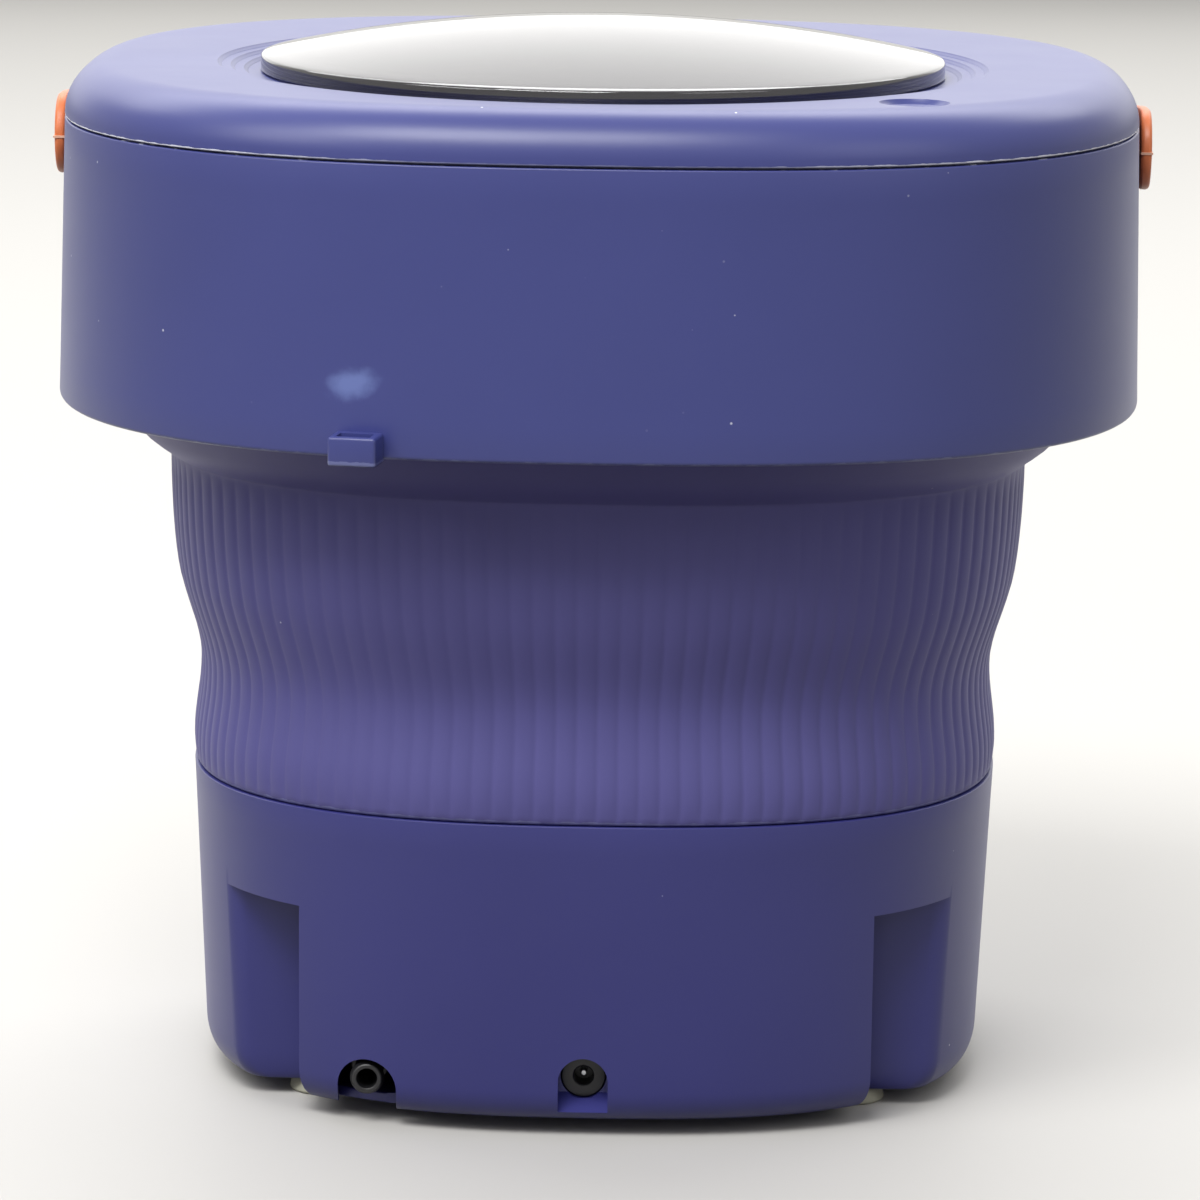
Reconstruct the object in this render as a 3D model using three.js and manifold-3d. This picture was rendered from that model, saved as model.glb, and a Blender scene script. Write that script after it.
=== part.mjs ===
// A folding mini washing machine: a base with its drive, a fluted bellows, a top housing, a lid and a bail
// handle. Millimetres, +Z up, origin on the table under the middle. The drain and the power inlet are on the
// -Y side.
import * as THREE from "three";
import { mergeVertices } from "three/addons/utils/BufferGeometryUtils.js";
import Module from "manifold-3d";

const wasm = await Module();
wasm.setup();

// Driving dimensions
const housingHalfWidth = 160;
const housingHalfDepth = 151;
const baseHalfWidth = 120.4;
const baseHalfDepth = 110;
const footHeight = 5;
const baseHeight = 88.4;
const bellowsHeight = 111.6;
const bandHeight = 82.3;
const coverHeight = 14.7;
const wall = 2.6;
const clearance = 0.3;
const overrun = 4;

// Every level section of the housings is a superellipse of this power.
const outlinePower = 2.55;
const bandDraftShare = 0.022;
const baseDraftShare = 0.044;

// Levels
const baseTop = footHeight + baseHeight;
const bandBottom = baseTop + bellowsHeight;
const bandTop = bandBottom + bandHeight;
const coverTop = bandTop + coverHeight;

// Facets
const fineSteps = 1440;
const outlineSteps = 36;
const roundSteps = 24;
const smallSteps = 12;
const screwSteps = 6;
const arcSteps = 3;
const domeSteps = 5;
const fullTurn = 2 * Math.PI;
const quarterTurn = Math.PI / 2;

// Colours and finishes
const finishes = {
  housing: { color: 0x4b4f86, roughness: 0.42, metalness: 0 },
  base: { color: 0x40427a, roughness: 0.42, metalness: 0 },
  silicone: { color: 0x56568a, roughness: 0.62, metalness: 0 },
  coral: { color: 0xd9855f, roughness: 0.45, metalness: 0 },
  clear: { color: 0x8f95a3, roughness: 0.05, metalness: 0 },
  rubber: { color: 0xb9b8a8, roughness: 0.8, metalness: 0 },
  black: { color: 0x1b1b1d, roughness: 0.5, metalness: 0 },
  white: { color: 0xdcdde0, roughness: 0.45, metalness: 0 },
  steel: { color: 0xb8babd, roughness: 0.3, metalness: 1 },
  board: { color: 0x2f6a46, roughness: 0.6, metalness: 0 },
};

const machine = new THREE.Group();

// A superellipse sampled at equal steps along its edge, as a ring of points at one level.
function ring(halfWidth, halfDepth, level, steps = outlineSteps, power = outlinePower, centreY = 0) {
  const edge = [];
  const run = [0];
  for (let i = 0; i <= fineSteps; i++) {
    const c = Math.cos((i / fineSteps) * fullTurn);
    const s = Math.sin((i / fineSteps) * fullTurn);
    const reach = (Math.abs(c / halfWidth) ** power + Math.abs(s / halfDepth) ** power) ** (-1 / power);
    edge.push(new THREE.Vector2(reach * c, reach * s));
    if (i > 0) run.push(run[i - 1] + edge[i].distanceTo(edge[i - 1]));
  }
  const points = [];
  let k = 0;
  for (let i = 0; i < steps; i++) {
    const along = (run[fineSteps] * i) / steps;
    while (run[k + 1] < along) k++;
    const point = edge[k].clone().lerp(edge[k + 1], (along - run[k]) / (run[k + 1] - run[k]));
    points.push(new THREE.Vector3(point.x, point.y + centreY, level));
  }
  return points;
}

function circle(radius, level, centreY = 0, steps = outlineSteps) {
  return ring(radius, radius, level, steps, 2, centreY);
}

function between(ringA, ringB, share) {
  return ringA.map((point, i) => point.clone().lerp(ringB[i], share));
}

// A skin through rings of points, either closed on itself or capped at both ends.
function loft(rings, closed = false) {
  const steps = rings[0].length;
  const positions = rings.flat().flatMap((point) => [point.x, point.y, point.z]);
  const index = [];
  const spans = closed ? rings.length : rings.length - 1;
  for (let r = 0; r < spans; r++) {
    const low = r * steps;
    const high = ((r + 1) % rings.length) * steps;
    for (let i = 0; i < steps; i++) {
      const j = (i + 1) % steps;
      index.push(low + i, low + j, high + j, low + i, high + j, high + i);
    }
  }
  if (!closed) {
    for (const [end, turn] of [[0, 1], [rings.length - 1, 0]]) {
      const middle = new THREE.Vector3();
      rings[end].forEach((point) => middle.addScaledVector(point, 1 / steps));
      const centre = positions.length / 3;
      positions.push(middle.x, middle.y, middle.z);
      for (let i = 0; i < steps; i++) {
        const a = end * steps + i;
        const b = end * steps + ((i + 1) % steps);
        index.push(centre, turn ? b : a, turn ? a : b);
      }
    }
  }
  const geometry = new THREE.BufferGeometry();
  geometry.setAttribute("position", new THREE.BufferAttribute(new Float32Array(positions), 3));
  return solid(geometry.setIndex(index));
}

// A closed mesh as a solid with its faces outwards.
function solid(geometry) {
  const bare = geometry.clone();
  bare.deleteAttribute("normal");
  bare.deleteAttribute("uv");
  const merged = mergeVertices(bare);
  const vertProperties = merged.attributes.position.array;
  const triVerts = new Uint32Array(merged.index.array);
  const made = new wasm.Manifold(new wasm.Mesh({ numProp: 3, vertProperties, triVerts }));
  if (made.volume() > 0) return made;
  for (let i = 0; i < triVerts.length; i += 3) triVerts.subarray(i, i + 2).reverse();
  return new wasm.Manifold(new wasm.Mesh({ numProp: 3, vertProperties, triVerts }));
}

function piece(name, shape, finish, parent = machine) {
  const mesh = shape.getMesh();
  const geometry = new THREE.BufferGeometry();
  geometry.setAttribute("position", new THREE.BufferAttribute(new Float32Array(mesh.vertProperties), 3));
  geometry.setIndex(new THREE.BufferAttribute(new Uint32Array(mesh.triVerts), 1));
  const made = new THREE.Mesh(geometry, new THREE.MeshStandardMaterial(finish));
  made.name = name;
  parent.add(made);
  return made;
}

// A revolve about Z of a profile of [radius, height] pairs.
function turned(profile, steps = roundSteps) {
  const points = profile.map(([radius, height]) => new THREE.Vector2(radius, height));
  return new THREE.LatheGeometry(points, steps).rotateX(quarterTurn);
}

function rod(radius, low, high, steps = smallSteps) {
  return turned([[0, low], [radius, low], [radius, high], [0, high]], steps);
}

// A flat ring or tube about Z.
function tube(inner, outer, low, high, steps = roundSteps) {
  return turned([[inner, low], [outer, low], [outer, high], [inner, high], [inner, low]], steps);
}

function block(x, y, z) {
  const size = [x[1] - x[0], y[1] - y[0], z[1] - z[0]];
  const middle = [(x[0] + x[1]) / 2, (y[0] + y[1]) / 2, (z[0] + z[1]) / 2];
  return new THREE.BoxGeometry(...size).translate(...middle);
}

function extrude(shape, depth) {
  return new THREE.ExtrudeGeometry(shape, { depth, bevelEnabled: false, curveSegments: smallSteps / 2 });
}

// Turns a shape drawn in X and height so that its extrusion runs towards -Y.
function facingBack(geometry) {
  const across = new THREE.Vector3(1, 0, 0);
  const toward = new THREE.Vector3(0, -1, 0);
  return geometry.applyMatrix4(new THREE.Matrix4().makeBasis(across, new THREE.Vector3(0, 0, 1), toward));
}

// Turns a shape drawn in Y and height so that its extrusion runs towards +X.
function facingSide(geometry) {
  const across = new THREE.Vector3(0, 1, 0);
  const toward = new THREE.Vector3(1, 0, 0);
  return geometry.applyMatrix4(new THREE.Matrix4().makeBasis(across, new THREE.Vector3(0, 0, 1), toward));
}

// A door-shaped outline: straight sides from a sill up to a half-round head.
function doorway(middle, halfWidth, sill, springing) {
  const shape = new THREE.Shape();
  shape.moveTo(middle - halfWidth, sill);
  shape.lineTo(middle + halfWidth, sill);
  shape.lineTo(middle + halfWidth, springing);
  shape.absarc(middle, springing, halfWidth, 0, Math.PI, false);
  return shape;
}

// A bar with round ends, lying along X.
function slotShape(halfLength, halfHeight, level) {
  const shape = new THREE.Shape();
  const reach = halfLength - halfHeight;
  shape.absarc(reach, level, halfHeight, -quarterTurn, quarterTurn, false);
  shape.absarc(-reach, level, halfHeight, quarterTurn, 3 * quarterTurn, false);
  return shape;
}

// How far an outline of these half sizes reaches in Y at one X.
function reachAt(halfWidth, halfDepth, x) {
  return halfDepth * (1 - Math.abs(x / halfWidth) ** outlinePower) ** (1 / outlinePower);
}

// Base shell

const baseEdge = { rise: 9, inset: 5, ledge: 2.2, ledgeHeight: 2, ledgeTaper: 4 };
const tubFlange = 2.5;

function baseRing(level, inset) {
  const draft = (baseTop - level) * baseDraftShare + inset;
  return ring(baseHalfWidth - draft, baseHalfDepth - draft, level);
}

// The rounded lower edge: how far the wall is drawn in at a share of the edge's quarter turn.
function edgeStep(share) {
  const angle = share * quarterTurn;
  return [footHeight + baseEdge.rise * (1 - Math.cos(angle)), baseEdge.inset * (1 - Math.sin(angle))];
}

// Corner recesses: the base is cut back flat at its four corners, up to this height, and its lower edge
// stays rounded along the cut.
const recess = { xShare: 0.693, yShare: 0.5955, height: 58.6, endFlareShare: 0.3 };
const recessTop = footHeight + recess.height;
const lowerEdge = [[footHeight - overrun, baseEdge.inset]];
for (let i = 0; i <= arcSteps; i++) lowerEdge.push(edgeStep(i / arcSteps));

function recessCuts(grow, steps) {
  const far = housingHalfWidth;
  const corners = [];
  for (const sideX of [-1, 1]) {
    for (const sideY of [-1, 1]) {
      corners.push(loft(steps.map(([level, inset]) => {
        const x = sideX * (baseHalfWidth * recess.xShare - grow - inset);
        const y = sideY * (baseHalfDepth * recess.yShare - grow - inset * recess.endFlareShare);
        const plan = [[x, y], [sideX * far, y], [sideX * far, sideY * far], [x, sideY * far]];
        return plan.map(([px, py]) => new THREE.Vector3(px, py, level));
      })));
    }
  }
  return corners;
}

// The drain arch and the power inlet's pocket are both cut from the -Y face.
const drain = { xShare: 0.5233, halfWidth: 8.7, springing: 6.6 };
const drainX = -baseHalfWidth * drain.xShare;
const jack = { halfWidth: 7.2, springing: 12, depth: 8, back: 2.2, radius: 6.4, bore: 2.8, pin: 1, body: 9 };
const jackSill = { front: 1.8, back: 7 };
const rearFace = baseHalfDepth - baseHeight * baseDraftShare;
const jackBack = -(rearFace - jack.depth);

function doorwayCut(door, middle, from, to, grow = 0) {
  const sill = footHeight - overrun;
  const shape = doorway(middle, door.halfWidth + grow, sill, footHeight + door.springing);
  return solid(facingBack(extrude(shape, to - from)).translate(0, -from, 0));
}

// The power inlet's pocket has a floor that slopes down to the outside.
function jackCut() {
  const low = footHeight - 2 * overrun;
  const shape = new THREE.Shape();
  shape.moveTo(-rearFace - overrun, low);
  shape.lineTo(jackBack + overrun, low);
  shape.lineTo(jackBack + overrun, footHeight + jackSill.back);
  shape.lineTo(jackBack, footHeight + jackSill.back);
  shape.lineTo(-rearFace, footHeight + jackSill.front);
  shape.lineTo(-rearFace - overrun, footHeight + jackSill.front);
  const reach = 2 * jack.halfWidth;
  const sill = solid(facingSide(extrude(shape, 2 * reach)).translate(-reach, 0, 0));
  return doorwayCut(jack, 0, -jackBack, housingHalfDepth).subtract(sill);
}

// The control panel's pocket is on the front, at this height above the base's lower edge.
const panel = { halfLength: 40, halfHeight: 11, height: 57, pocket: 3.4, floor: 2, plate: 2.2 };
const panelLevel = footHeight + panel.height;
const frontFace = reachAt(baseHalfWidth, baseHalfDepth, panel.halfLength) - baseHeight * baseDraftShare / 2;
const panelFloor = frontFace - panel.pocket;

function panelBlock(grow, from, to) {
  const shape = slotShape(panel.halfLength + grow, panel.halfHeight + grow, panelLevel);
  return solid(facingBack(extrude(shape, to - from)).translate(0, to, 0));
}

const keys = { x: 18, radius: 6, rimRadius: 7.4, travel: 1.2, proud: 0.5, stem: 2.2 };
const boardGap = 2.4;
const boardThick = 1.6;

const cornerBoss = { radius: 4.6, inset: 13, yShare: 0.27, height: 24, hole: 1.9, web: 2.4 };
const bossX = baseHalfWidth - baseHeight * baseDraftShare - cornerBoss.inset;
const bossY = baseHalfDepth * cornerBoss.yShare;
const bottomCover = { thick: 3, counterbore: 3.6, headHeight: 1.6 };
const coverLow = footHeight + clearance;
const coverHigh = coverLow + bottomCover.thick;

function bossPlaces() {
  return [[-1, -1], [1, -1], [1, 1], [-1, 1]].map(([x, y]) => [x * bossX, y * bossY]);
}

function makeBaseShell() {
  const outside = [];
  for (let i = 0; i <= arcSteps; i++) outside.push(edgeStep(i / arcSteps));
  outside.push([baseTop, 0]);
  const ledgeTop = baseTop - tubFlange - clearance;
  const inside = [
    [baseTop, wall],
    [ledgeTop, wall],
    [ledgeTop, wall + baseEdge.ledge],
    [ledgeTop - baseEdge.ledgeHeight, wall + baseEdge.ledge],
    [ledgeTop - baseEdge.ledgeHeight - baseEdge.ledgeTaper, wall],
    ...outside.slice(0, -1).reverse().map(([level, inset]) => [level, inset + wall]),
  ];
  const outsideRings = outside.map(([level, inset]) => baseRing(level, inset));
  const insideRings = inside.map(([level, inset]) => baseRing(level, inset));
  const body = loft(outsideRings);
  const lowered = insideRings.at(-1).map((point) => point.clone().setZ(point.z - overrun));
  const raised = insideRings[0].map((point) => point.clone().setZ(point.z + overrun));
  let hollow = loft([raised, ...insideRings, lowered]);
  const innerSteps = [...lowerEdge, [recessTop + wall, 0]];
  for (const corner of recessCuts(wall, innerSteps)) hollow = hollow.subtract(corner);
  hollow = hollow.subtract(doorwayCut(jack, 0, -jackBack - jack.back, housingHalfDepth, wall));
  hollow = hollow.subtract(panelBlock(wall, panelFloor - panel.floor, housingHalfDepth));
  for (const [x, y] of bossPlaces()) {
    const levels = [coverHigh + clearance, coverHigh + cornerBoss.height];
    const webX = [Math.min(x, Math.sign(x) * baseHalfWidth), Math.max(x, Math.sign(x) * baseHalfWidth)];
    const web = block(webX, [y - cornerBoss.web / 2, y + cornerBoss.web / 2], levels);
    hollow = hollow.subtract(solid(web));
    hollow = hollow.subtract(solid(rod(cornerBoss.radius, ...levels).translate(x, y, 0)));
  }
  let shell = body.subtract(hollow);
  for (const corner of recessCuts(0, [...lowerEdge, [recessTop, 0]])) shell = shell.subtract(corner);
  shell = shell.subtract(doorwayCut(drain, drainX, rearFace / 2, housingHalfDepth));
  shell = shell.subtract(jackCut());
  shell = shell.subtract(panelBlock(0, panelFloor, housingHalfDepth));
  const jackHole = rod(jack.radius + clearance, 0, overrun + jack.depth).rotateX(-quarterTurn);
  shell = shell.subtract(solid(jackHole.translate(0, jackBack - overrun / 2, footHeight + jack.springing)));
  for (const side of [-1, 1]) {
    const hole = rod(keys.radius + clearance, -overrun, overrun).rotateX(quarterTurn);
    shell = shell.subtract(solid(hole.translate(side * keys.x, panelFloor, panelLevel)));
  }
  for (const [x, y] of bossPlaces()) {
    const hole = rod(cornerBoss.hole, 0, coverHigh + cornerBoss.height - wall, screwSteps);
    shell = shell.subtract(solid(hole.translate(x, y, 0)));
  }
  return piece("base_shell", shell, finishes.base);
}

// Bottom cover, its screws and the feet

const foot = { xShare: 0.65, yShare: 0.502, radius: 10, edge: 1, taper: 0.7, stem: 2.2, stemHeight: 2.6 };
const footX = baseHalfWidth * foot.xShare;
const footY = baseHalfDepth * foot.yShare;
const screw = { radius: 1.6, head: 3, length: 16 };

function makeBottomCover() {
  const inset = baseEdge.inset + wall + clearance;
  let cover = loft([baseRing(coverLow, inset), baseRing(coverHigh, inset)]);
  const plumb = [[coverLow - overrun, baseEdge.inset], [coverHigh + overrun, baseEdge.inset]];
  for (const corner of recessCuts(wall + clearance, plumb)) cover = cover.subtract(corner);
  cover = cover.subtract(doorwayCut(drain, drainX, rearFace - 2 * jack.depth, housingHalfDepth, wall));
  const jackWall = -jackBack - jack.back - clearance;
  cover = cover.subtract(doorwayCut(jack, 0, jackWall, housingHalfDepth, wall + clearance));
  for (const [x, y] of bossPlaces()) {
    const hole = rod(cornerBoss.hole, 0, coverHigh + overrun, screwSteps);
    const seat = rod(bottomCover.counterbore, 0, coverLow + bottomCover.headHeight, screwSteps);
    cover = cover.subtract(solid(hole.translate(x, y, 0))).subtract(solid(seat.translate(x, y, 0)));
  }
  for (const x of [-footX, footX]) {
    for (const y of [-footY, footY]) {
      const hole = rod(foot.stem + clearance, 0, coverHigh + overrun).translate(x, y, 0);
      cover = cover.subtract(solid(hole));
    }
  }
  piece("bottom_cover", cover, finishes.base);
}

function makeFeet() {
  const places = { rear_left: [-1, -1], rear_right: [1, -1], front_right: [1, 1], front_left: [-1, 1] };
  const stemTop = footHeight + foot.stemHeight;
  for (const [name, [x, y]] of Object.entries(places)) {
    const padTop = footHeight - clearance;
    const profile = [
      [0, 0], [foot.radius - foot.edge, 0], [foot.radius, foot.edge], [foot.radius - foot.taper, padTop],
      [foot.stem, padTop], [foot.stem, stemTop], [0, stemTop],
    ];
    const pad = piece("foot_" + name, solid(turned(profile, roundSteps / 2)), finishes.rubber);
    pad.position.set(x * footX, y * footY, 0);
  }
}

function makeScrews() {
  bossPlaces().forEach(([x, y], i) => {
    const seat = bottomCover.headHeight;
    const profile = [
      [0, clearance], [screw.head - clearance, clearance], [screw.head, seat - clearance],
      [screw.radius, seat - clearance], [screw.radius, screw.length], [0, screw.length],
    ];
    const made = piece("base_screw_" + (i + 1), solid(turned(profile, screwSteps)), finishes.steel);
    made.position.set(x, y, coverLow);
  });
}

// Tub well: the bowl that closes the bellows at the bottom, with the drive's hub under it

const well = { floor: 47.4, thick: 2.4, wallInset: 7, waistInset: 22, bottomInset: 29, footInset: 36 };
const wellShares = { waist: 0.52, bottom: 0.2, foot: 0.06 };
const hub = { radius: 16, length: 20, bearing: 8, bearingHeight: 5, seal: 10, sealHeight: 4, shaft: 4 };
const wellFloor = footHeight + well.floor;
const hubLow = wellFloor - well.thick - hub.length;
const drainHole = { yShare: 0.4545, radius: 5, boss: 7, bossHeight: 6 };
const drainHoleY = -baseHalfDepth * drainHole.yShare;

function wellRings(thick, top) {
  const deep = baseTop - wellFloor;
  const floor = wellFloor - well.thick + thick;
  const steps = [
    [floor, well.footInset],
    [floor + deep * wellShares.foot, well.footInset - (well.footInset - well.bottomInset) / 2],
    [wellFloor + deep * wellShares.bottom, well.bottomInset - (well.bottomInset - well.waistInset) / 2],
    [wellFloor + deep * wellShares.waist, well.waistInset],
    [top, well.wallInset],
  ];
  return steps.map(([level, inset]) => {
    const half = [baseHalfWidth - inset - thick, baseHalfDepth - inset - thick];
    return ring(half[0], half[1], level);
  });
}

function makeTubWell() {
  const flangeLow = baseTop - tubFlange;
  let tub = loft(wellRings(0, flangeLow + tubFlange / 2));
  tub = tub.add(loft([baseRing(flangeLow, wall + clearance), baseRing(baseTop, wall + clearance)]));
  tub = tub.add(solid(rod(hub.radius, hubLow, wellFloor - well.thick / 2, roundSteps)));
  const drainLow = wellFloor - well.thick - drainHole.bossHeight;
  tub = tub.add(solid(rod(drainHole.boss, drainLow, wellFloor).translate(drainX, drainHoleY, 0)));
  const inner = wellRings(well.thick, baseTop);
  const lifted = inner.at(-1).map((point) => point.clone().setZ(point.z + overrun));
  tub = tub.subtract(loft([...inner, lifted]));
  const bearingRadius = hub.bearing + clearance;
  const shoulder = (hub.shaft + hub.bearing) / 2;
  const bore = [
    [0, hubLow - overrun], [bearingRadius, hubLow - overrun],
    [bearingRadius, hubLow + hub.bearingHeight + clearance],
    [shoulder, hubLow + hub.bearingHeight + clearance],
    [shoulder, wellFloor - hub.sealHeight - hub.bearingHeight - clearance],
    [bearingRadius, wellFloor - hub.sealHeight - hub.bearingHeight - clearance],
    [bearingRadius, wellFloor - hub.sealHeight], [hub.seal + clearance, wellFloor - hub.sealHeight],
    [hub.seal + clearance, wellFloor + overrun], [0, wellFloor + overrun],
  ];
  tub = tub.subtract(solid(turned(bore)));
  const drainBore = rod(drainHole.radius, drainLow - overrun, wellFloor + overrun);
  tub = tub.subtract(solid(drainBore.translate(drainX, drainHoleY, 0)));
  piece("tub_well", tub, finishes.white);
}

// Drive: shaft, bearings, seal, motor and pulsator, all about the middle

const motor = {
  rotor: 38, rotorHeight: 17, skin: 2, gap: 1.2, teeth: 9, hubRadius: 7, plate: 2.4, plateRadius: 24,
};
const motorLow = coverHigh + 3 * clearance + wall / 2;
const motorHigh = hubLow - clearance;
const pulsator = {
  radius: 62, lift: 1.6, disc: 3, hub: 17, hubHeight: 20, vanes: 4, vaneHeight: 11, vaneThick: 7,
};
const pulsatorLow = wellFloor + pulsator.lift;
const pulsatorHigh = pulsatorLow + pulsator.hubHeight;
const pulsatorShares = {
  skirt: 1.6, crown: 0.72, vaneReach: 0.94, vaneTip: 0.9, vaneEdge: 0.7, vaneBelly: 0.8,
};
const cap = { radius: 8, height: 2.4, sink: 1.2, screw: 3, socket: 12, crownShare: 0.7 };
const toothShares = [0.12, 0.88];

function makeBearings() {
  const race = [hub.shaft + clearance, hub.bearing];
  const high = wellFloor - hub.sealHeight - clearance;
  const lowSeat = hubLow + clearance;
  const bearing = (low, top) => solid(tube(race[0], race[1], low, top, smallSteps));
  piece("lower_bearing", bearing(lowSeat, hubLow + hub.bearingHeight), finishes.steel);
  piece("upper_bearing", bearing(high - hub.bearingHeight + clearance, high), finishes.steel);
  const lip = hub.sealHeight / 3;
  const sealLow = wellFloor - hub.sealHeight + clearance;
  const seal = [
    [hub.shaft + clearance, sealLow], [hub.seal, sealLow], [hub.seal, wellFloor],
    [hub.shaft + lip, wellFloor], [hub.shaft + clearance, wellFloor - lip], [hub.shaft + clearance, sealLow],
  ];
  piece("shaft_seal", solid(turned(seal, smallSteps)), finishes.black);
}

function makeDriveShaft() {
  const top = pulsatorLow + cap.socket;
  const flat = hub.shaft - hub.shaft / 4;
  const shaft = solid(rod(hub.shaft, motorLow + motor.skin + clearance, top));
  const cut = block([flat, 2 * hub.shaft], [-hub.shaft, hub.shaft], [pulsatorLow, top + overrun]);
  const bore = rod(cap.screw / 2 + clearance, top - cap.socket / 2, top + overrun, screwSteps);
  piece("drive_shaft", shaft.subtract(solid(cut)).subtract(solid(bore)), finishes.steel);
}

function makeMotor() {
  const cupTop = motorLow + motor.rotorHeight;
  const inner = motor.rotor - motor.skin;
  const cup = [
    [0, motorLow], [motor.rotor, motorLow], [motor.rotor, cupTop], [inner, cupTop],
    [inner, motorLow + motor.skin],
    [motor.hubRadius, motorLow + motor.skin], [motor.hubRadius, motorLow + motor.rotorHeight / 2],
    [hub.shaft + clearance, motorLow + motor.rotorHeight / 2],
    [hub.shaft + clearance, motorLow + motor.skin], [0, motorLow + motor.skin],
  ];
  piece("motor_rotor", solid(turned(cup)), finishes.steel);
  const reach = inner - motor.gap;
  const neck = (reach + motor.hubRadius) / 2;
  const [start, end] = toothShares;
  const points = [];
  for (let i = 0; i < motor.teeth; i++) {
    for (const [share, radius] of [[start, neck], [start, reach], [end, reach], [end, neck]]) {
      const angle = ((i + share) / motor.teeth) * fullTurn;
      points.push(new THREE.Vector2(radius * Math.cos(angle), radius * Math.sin(angle)));
    }
  }
  const shape = new THREE.Shape(points);
  shape.holes.push(new THREE.Path().absarc(0, 0, motor.hubRadius + motor.gap, 0, fullTurn, true));
  const low = motorLow + motor.skin + motor.gap;
  const stackHigh = motorHigh - motor.plate;
  let stator = solid(extrude(shape, stackHigh - low).translate(0, 0, low));
  const plate = tube(hub.shaft + motor.gap, motor.plateRadius, stackHigh - clearance, motorHigh);
  stator = stator.add(solid(plate));
  piece("motor_stator", stator, finishes.steel);
}

function makePulsator() {
  const rimHigh = pulsatorLow + pulsator.disc;
  const shoulder = pulsatorLow + pulsator.hubHeight / 3;
  const profile = [
    [0, pulsatorLow], [pulsator.radius - pulsator.disc / 2, pulsatorLow],
    [pulsator.radius, (pulsatorLow + rimHigh) / 2], [pulsator.radius - pulsator.disc / 2, rimHigh],
    [pulsator.hub * pulsatorShares.skirt, shoulder], [pulsator.hub, pulsatorHigh - pulsator.hubHeight / 4],
    [pulsator.hub * pulsatorShares.crown, pulsatorHigh], [0, pulsatorHigh],
  ];
  let disc = solid(turned(profile));
  const vane = new THREE.Shape();
  vane.moveTo(pulsator.hub / 2, pulsatorLow + pulsator.disc / 2);
  vane.lineTo(pulsator.radius * pulsatorShares.vaneReach, pulsatorLow + pulsator.disc / 2);
  const vaneEdge = pulsatorLow + pulsator.vaneHeight * pulsatorShares.vaneEdge;
  vane.lineTo(pulsator.radius * pulsatorShares.vaneTip, vaneEdge);
  vane.quadraticCurveTo(
    pulsator.radius / 2, pulsatorLow + pulsator.vaneHeight * pulsatorShares.vaneBelly,
    pulsator.hub / 2, pulsatorHigh - pulsator.hubHeight / 5,
  );
  for (let i = 0; i < pulsator.vanes; i++) {
    const blade = facingBack(extrude(vane, pulsator.vaneThick)).translate(0, pulsator.vaneThick / 2, 0);
    disc = disc.add(solid(blade.rotateZ((i / pulsator.vanes) * fullTurn)));
  }
  const socketTop = pulsatorLow + cap.socket + clearance;
  disc = disc.subtract(solid(rod(hub.shaft + clearance, pulsatorLow - overrun, socketTop)));
  const screwHole = rod(cap.screw / 2 + clearance, pulsatorLow, pulsatorHigh + overrun, screwSteps);
  disc = disc.subtract(solid(screwHole));
  disc = disc.subtract(solid(rod(cap.radius + clearance, pulsatorHigh - cap.sink, pulsatorHigh + overrun)));
  piece("pulsator", disc, finishes.white);
  const capLow = pulsatorHigh - cap.sink + clearance;
  const screwLow = pulsatorLow + cap.socket - cap.socket / 2 + clearance;
  const button = [
    [0, screwLow], [cap.screw / 2, screwLow], [cap.screw / 2, capLow], [cap.radius, capLow],
    [cap.radius, capLow + cap.height / 2], [cap.radius * cap.crownShare, capLow + cap.height],
    [0, capLow + cap.height],
  ];
  piece("pulsator_screw", solid(turned(button, smallSteps)), finishes.steel);
}

// Drain tube and spigot

const hose = { outer: 5.6, inner: 4.2, level: 9.3, spigotBack: 20, barb: 0.8, boreShare: 0.7 };
const spigotLevel = footHeight + hose.level;
const drainFace = reachAt(baseHalfWidth, baseHalfDepth, drainX) - baseHeight * baseDraftShare;

function makeDrain() {
  const outerShape = new THREE.Shape().absarc(0, 0, hose.outer, 0, fullTurn, false);
  outerShape.holes.push(new THREE.Path().absarc(0, 0, hose.inner, 0, fullTurn, true));
  const top = wellFloor - well.thick - drainHole.bossHeight - clearance;
  const tail = -(drainFace - hose.spigotBack);
  const start = new THREE.Vector3(drainX, drainHoleY, top);
  const turn = new THREE.Vector3(drainX, drainHoleY, spigotLevel);
  const end = new THREE.Vector3(drainX, tail, spigotLevel);
  const curve = new THREE.QuadraticBezierCurve3(start, turn, end);
  const section = { steps: 2 * arcSteps, extrudePath: curve, curveSegments: arcSteps + 1 };
  piece("drain_tube", solid(new THREE.ExtrudeGeometry(outerShape, section)), finishes.black);
  const bore = hose.inner * hose.boreShare;
  const length = hose.spigotBack - hose.barb;
  const profile = [
    [bore, clearance], [hose.outer, clearance], [hose.outer, wall], [hose.inner, wall],
    [hose.inner, length - 3 * hose.barb], [hose.inner + hose.barb, length - 3 * hose.barb],
    [hose.inner, length], [bore, length], [bore, clearance],
  ];
  const fitting = turned(profile, smallSteps).rotateX(quarterTurn);
  const spigot = piece("drain_spigot", solid(fitting), finishes.black);
  spigot.position.set(drainX, tail, spigotLevel);
}

function makeJack() {
  const level = footHeight + jack.springing;
  const flange = jack.back + 2 * clearance;
  const profile = [
    [0, -jack.body], [jack.radius, -jack.body], [jack.radius, flange],
    [jack.bore, flange], [jack.bore, -jack.body / 2], [jack.pin, -jack.body / 2], [jack.pin, 0], [0, 0],
  ];
  const made = piece("dc_jack", solid(turned(profile, smallSteps).rotateX(quarterTurn)), finishes.black);
  made.position.set(0, jackBack + jack.back + clearance, level);
}

// Clamp ring that holds the bellows' lower flange down on the well

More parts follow.
